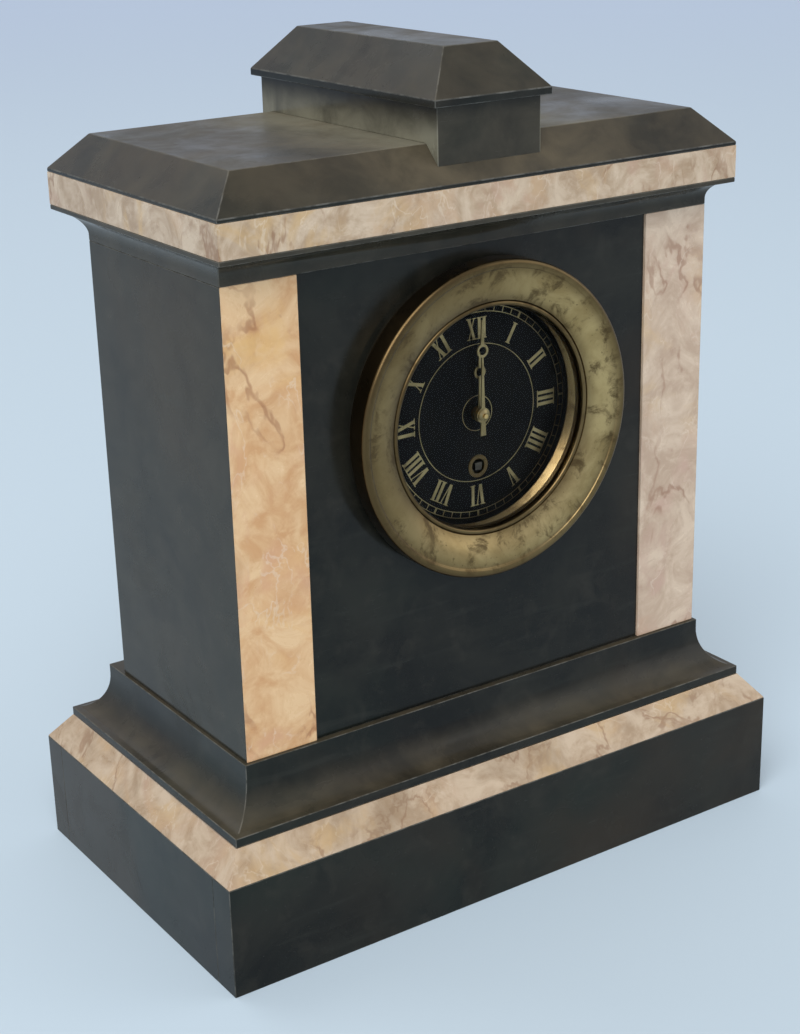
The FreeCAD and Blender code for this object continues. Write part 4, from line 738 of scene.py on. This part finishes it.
def add_stroke(shape, turn, rise, x, foot, width, lean, height):
    """A flat stroke on the dial, turned to its hour: how far it rises, its middle's offset, the
    radius of its foot, its width, how far its top leans over, and its height."""
    size = Matrix(
        (
            (width, 0, lean, x),
            (0, rise + SINK, 0, dial_front + (SINK - rise) / 2),
            (0, 0, height, foot + height / 2),
            (0, 0, 0, 1),
        )
    )
    turned = Matrix.Translation(DIAL_CENTRE) @ Matrix.Rotation(math.radians(turn), 4, "Y")
    bmesh.ops.create_cube(shape, size=1, matrix=turned @ Matrix.Scale(MM, 4) @ size)


def add_letter(shape, letter, turn, x):
    """One letter of a numeral, with a serif at each end of its strokes."""
    foot = NUMERAL_FOOT + SERIF_INSET
    height = NUMERAL_HEIGHT - 2 * SERIF_INSET
    top = NUMERAL_FOOT + NUMERAL_HEIGHT - SERIF
    reach = LETTER_WIDTHS[letter] / 2 - THICK
    if letter == "I":
        add_stroke(shape, turn, STROKE_RISE, x, foot, THICK, 0, height)
        for end in (NUMERAL_FOOT, top):
            add_stroke(shape, turn, SERIF_RISE, x, end, THICK_SERIF, 0, SERIF)
    elif letter == "V":
        add_stroke(shape, turn, STROKE_RISE, x - reach / 2, foot, THICK, -reach, height)
        add_stroke(shape, turn, HAIR_RISE, x + reach / 2 + THIN, foot, THIN, reach, height)
        add_stroke(shape, turn, SERIF_RISE, x - reach, top, THICK_SERIF, 0, SERIF)
        add_stroke(shape, turn, SERIF_RISE, x + reach + THIN, top, THIN_SERIF, 0, SERIF)
    else:
        add_stroke(shape, turn, STROKE_RISE, x, foot, THICK, -2 * reach, height)
        add_stroke(shape, turn, HAIR_RISE, x, foot, THIN, 2 * reach, height)
        for end, side in ((NUMERAL_FOOT, 1), (top, -1)):
            add_stroke(shape, turn, SERIF_RISE, x + side * reach, end, THICK_SERIF, 0, SERIF)
            add_stroke(shape, turn, SERIF_RISE, x - side * reach, end, THIN_SERIF, 0, SERIF)


for hour, numeral in enumerate(NUMERALS):
    width = sum(LETTER_WIDTHS[letter] for letter in numeral)
    x = -width / 2
    for letter in numeral:
        add_letter(marks, letter, 30 * hour, x + LETTER_WIDTHS[letter] / 2)
        x += LETTER_WIDTHS[letter]
mark_foot = TRACK_INNER + TRACK_LINE / 2
for minute in range(60):
    width = MINUTE_MARK if minute % 5 else FIVE_MINUTE_MARK
    add_stroke(marks, 6 * minute, HAIR_RISE, 0, mark_foot, width, 0, TRACK_OUTER - TRACK_INNER)
front = dial_front - STROKE_RISE
back = dial_front + SINK
for radius in (TRACK_INNER, TRACK_OUTER, INNER_RING, CENTRE_RING):
    edge = radius + TRACK_LINE
    add_turned(marks, [(radius, back), (radius, front), (edge, front), (edge, back)], RING_STEPS)

mark_gilt = gilt(
    "dial_gilt",
    bright=(0.36, 0.28, 0.135, 1),
    dull=(0.22, 0.165, 0.075, 1),
    brown=(0.07, 0.05, 0.022, 1),
    tarnish=0.6,
    ring_depth=0.004 * MM,
)
dial_marks = new_piece("dial_numerals_and_track", marks, mark_gilt)
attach(dial_marks, "case")


# The hands are sawn from thin brass and gilt, with a ring near the tip. Their edges are filed round,
# and a small collet holds the minute hand on its arbor.
HAND_EDGE = 0.12 * MM


def dress_hand(node, body):
    """Replaces a hand by a copy with filed edges."""
    piece = new_piece(node + "_gilt", worn_copy(node, HAND_EDGE), mark_gilt, SMOOTH_ANGLE)
    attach(piece, body)
    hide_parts(node)


dress_hand("hour_hand", "hour_work")
dress_hand("minute_hand", "centre_arbor")
dress(mark_gilt, "hand_collet")


# Pins, screws, springs, click work and anchor are steel, ground and a little dull. The winding square
# behind its hole in the dial is painted dark brown, as shade in its hole.
def steel(name, dark, bright):
    """Ground steel: fine lines from the stone, and darker patches."""
    finish = Finish(name)
    here = finish.place()
    grain = finish.noise(finish.place(scale=(1, 12, 12)), 300, 3, 0.6)
    patch = finish.noise(here, 120, 4, 0.6)
    colour = finish.mix(patch.above(0.35, 0.7), dark, bright)
    finish.set(Base_Color=colour, Metallic=1.0, Roughness=0.28 + 0.14 * grain)
    finish.bump(grain, 0.004 * MM)
    return finish.material


steel_finish = steel("ground_steel", (0.17, 0.158, 0.142, 1), (0.36, 0.335, 0.30, 1))
# Dark brown steel: painted shade for the winding square in its hole.
shaded_hole_steel = steel("shaded_hole_steel", (0.045, 0.037, 0.028, 1), (0.115, 0.098, 0.075, 1))
dress(steel_finish, "bezel_hinge_pin", "rear_hinge_pin", "strap_screws", "movement_screws")
dress(steel_finish, "mainspring", "suspension_spring")
dress(steel_finish, "ratchet_wheel", "click", "anchor_and_crutch")
dress(shaded_hole_steel, "winding_arbor")


# The click's spring is a thin steel blade on a round foot, which is screwed to the front plate. It
# bends where the click lifts its tip, and is cut into short lengths there to bend smoothly.
BLADE_EDGE = 0.05 * MM
BLADE_CUTS = [-13.4 + 0.6 * cut for cut in range(13)]
blade_shape = worn_copy("click_spring", BLADE_EDGE)
for cut in BLADE_CUTS:
    bmesh.ops.bisect_plane(
        blade_shape,
        geom=blade_shape.verts[:] + blade_shape.edges[:] + blade_shape.faces[:],
        plane_co=(cut * MM, 0, 0),
        plane_no=(1, 0, 0),
    )
blade = new_piece("click_spring_blade", blade_shape, steel_finish, SMOOTH_ANGLE)
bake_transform(blade)
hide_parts("click_spring")


# The dial is a metal disc, painted black and nearly dull. Three feet at its back stand on the
# movement's plate, and its edge lies between the bezel's seat ring and the slip ring.
DIAL_BLACK = (0.0022, 0.0022, 0.0023, 1)
DIAL_CLOUD = (0.0048, 0.0046, 0.0041, 1)


def dial_paint():
    """Black paint that is faintly clouded."""
    finish = Finish("black_dial")
    cloud = finish.noise(finish.place(), 60, 5, 0.6)
    colour = finish.mix(cloud.above(0.35, 0.7), DIAL_BLACK, DIAL_CLOUD)
    finish.set(Base_Color=colour, Roughness=0.34 + 0.12 * cloud, Specular_IOR_Level=0.07)
    return finish.material


dress(dial_paint(), "dial")


# The dial glass is a flat disc of clear sheet glass, pressed into the bezel from behind by its ring.
# Only its outer face gives a sheen, so the dial is seen through it.
GLASS_SHEEN = (0.065, 0.068, 0.067, 1)


def clear_glass():
    """Clear glass with a faint sheen, which grows as the glass is seen more from the side."""
    finish = Finish("clear_glass")
    clear = finish.tree.nodes.new("ShaderNodeBsdfTransparent")
    inside = finish.node("ShaderNodeNewGeometry", {}, {}, "Backfacing")
    sheen = (1 - inside) * finish.node("ShaderNodeFresnel", {}, {"IOR": 1.5})
    finish.set(Base_Color=GLASS_SHEEN, Roughness=0.03, Metallic=1.0)
    both = finish.tree.nodes.new("ShaderNodeMixShader")
    finish.feed(both.inputs[0], sheen)
    finish.tree.links.new(clear.outputs[0], both.inputs[1])
    finish.tree.links.new(finish.shader.outputs[0], both.inputs[2])
    out = finish.tree.nodes["Material Output"]
    finish.tree.links.new(both.outputs[0], out.inputs["Surface"])
    return finish.material


dress(clear_glass(), "bezel_glass")


# The back door is pressed from sheet brass with three raised beads. It hangs in a brass ring, which
# long screws draw towards the bezel's seat ring, with the case between. Both have gone brown.
door_brass = gilt(
    "door_brass",
    bright=(0.50, 0.35, 0.14, 1),
    dull=(0.40, 0.27, 0.105, 1),
    brown=(0.13, 0.08, 0.035, 1),
    tarnish=0.55,
    ring_depth=0.010 * MM,
)
DOOR_BACK = 53.5
DOOR_EDGE = 0.25 * MM
BEAD_SINK = 0.3
DOOR_BEADS = ((43.6, 0.9, 0.8), (31.6, 1.0, 0.7), (29.2, 0.5, 0.35))

door_shape = worn_copy("rear_door", DOOR_EDGE)
for middle, half_width, height in DOOR_BEADS:
    foot = DOOR_BACK - BEAD_SINK
    outline = [(middle - half_width, foot), (middle + half_width, foot)]
    outline += half_round(middle, half_width, DOOR_BACK, height)
    add_turned(door_shape, outline, RING_STEPS)
door = new_piece("pressed_rear_door", door_shape, door_brass, SMOOTH_ANGLE)
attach(door, "rear_door")
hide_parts("rear_door")

ring = new_piece("filed_rear_ring", worn_copy("rear_ring", DOOR_EDGE), door_brass, SMOOTH_ANGLE)
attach(ring, "case")
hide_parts("rear_ring")
dress(door_brass, "rear_door_knob")


# The movement's plates, wheels, barrel and pendulum are cast, cut and turned brass, which the case
# has kept bright. So are the straps on the seat ring, which take the long screws of the back ring.
movement_brass = gilt(
    "movement_brass",
    bright=(0.70, 0.49, 0.20, 1),
    dull=(0.56, 0.385, 0.155, 1),
    brown=(0.25, 0.16, 0.07, 1),
    tarnish=0.3,
    ring_depth=0.008 * MM,
)
for name, node in nodes.items():
    if not node.hide_render and node.data.materials[0].name.startswith("brass"):
        dress(movement_brass, name)
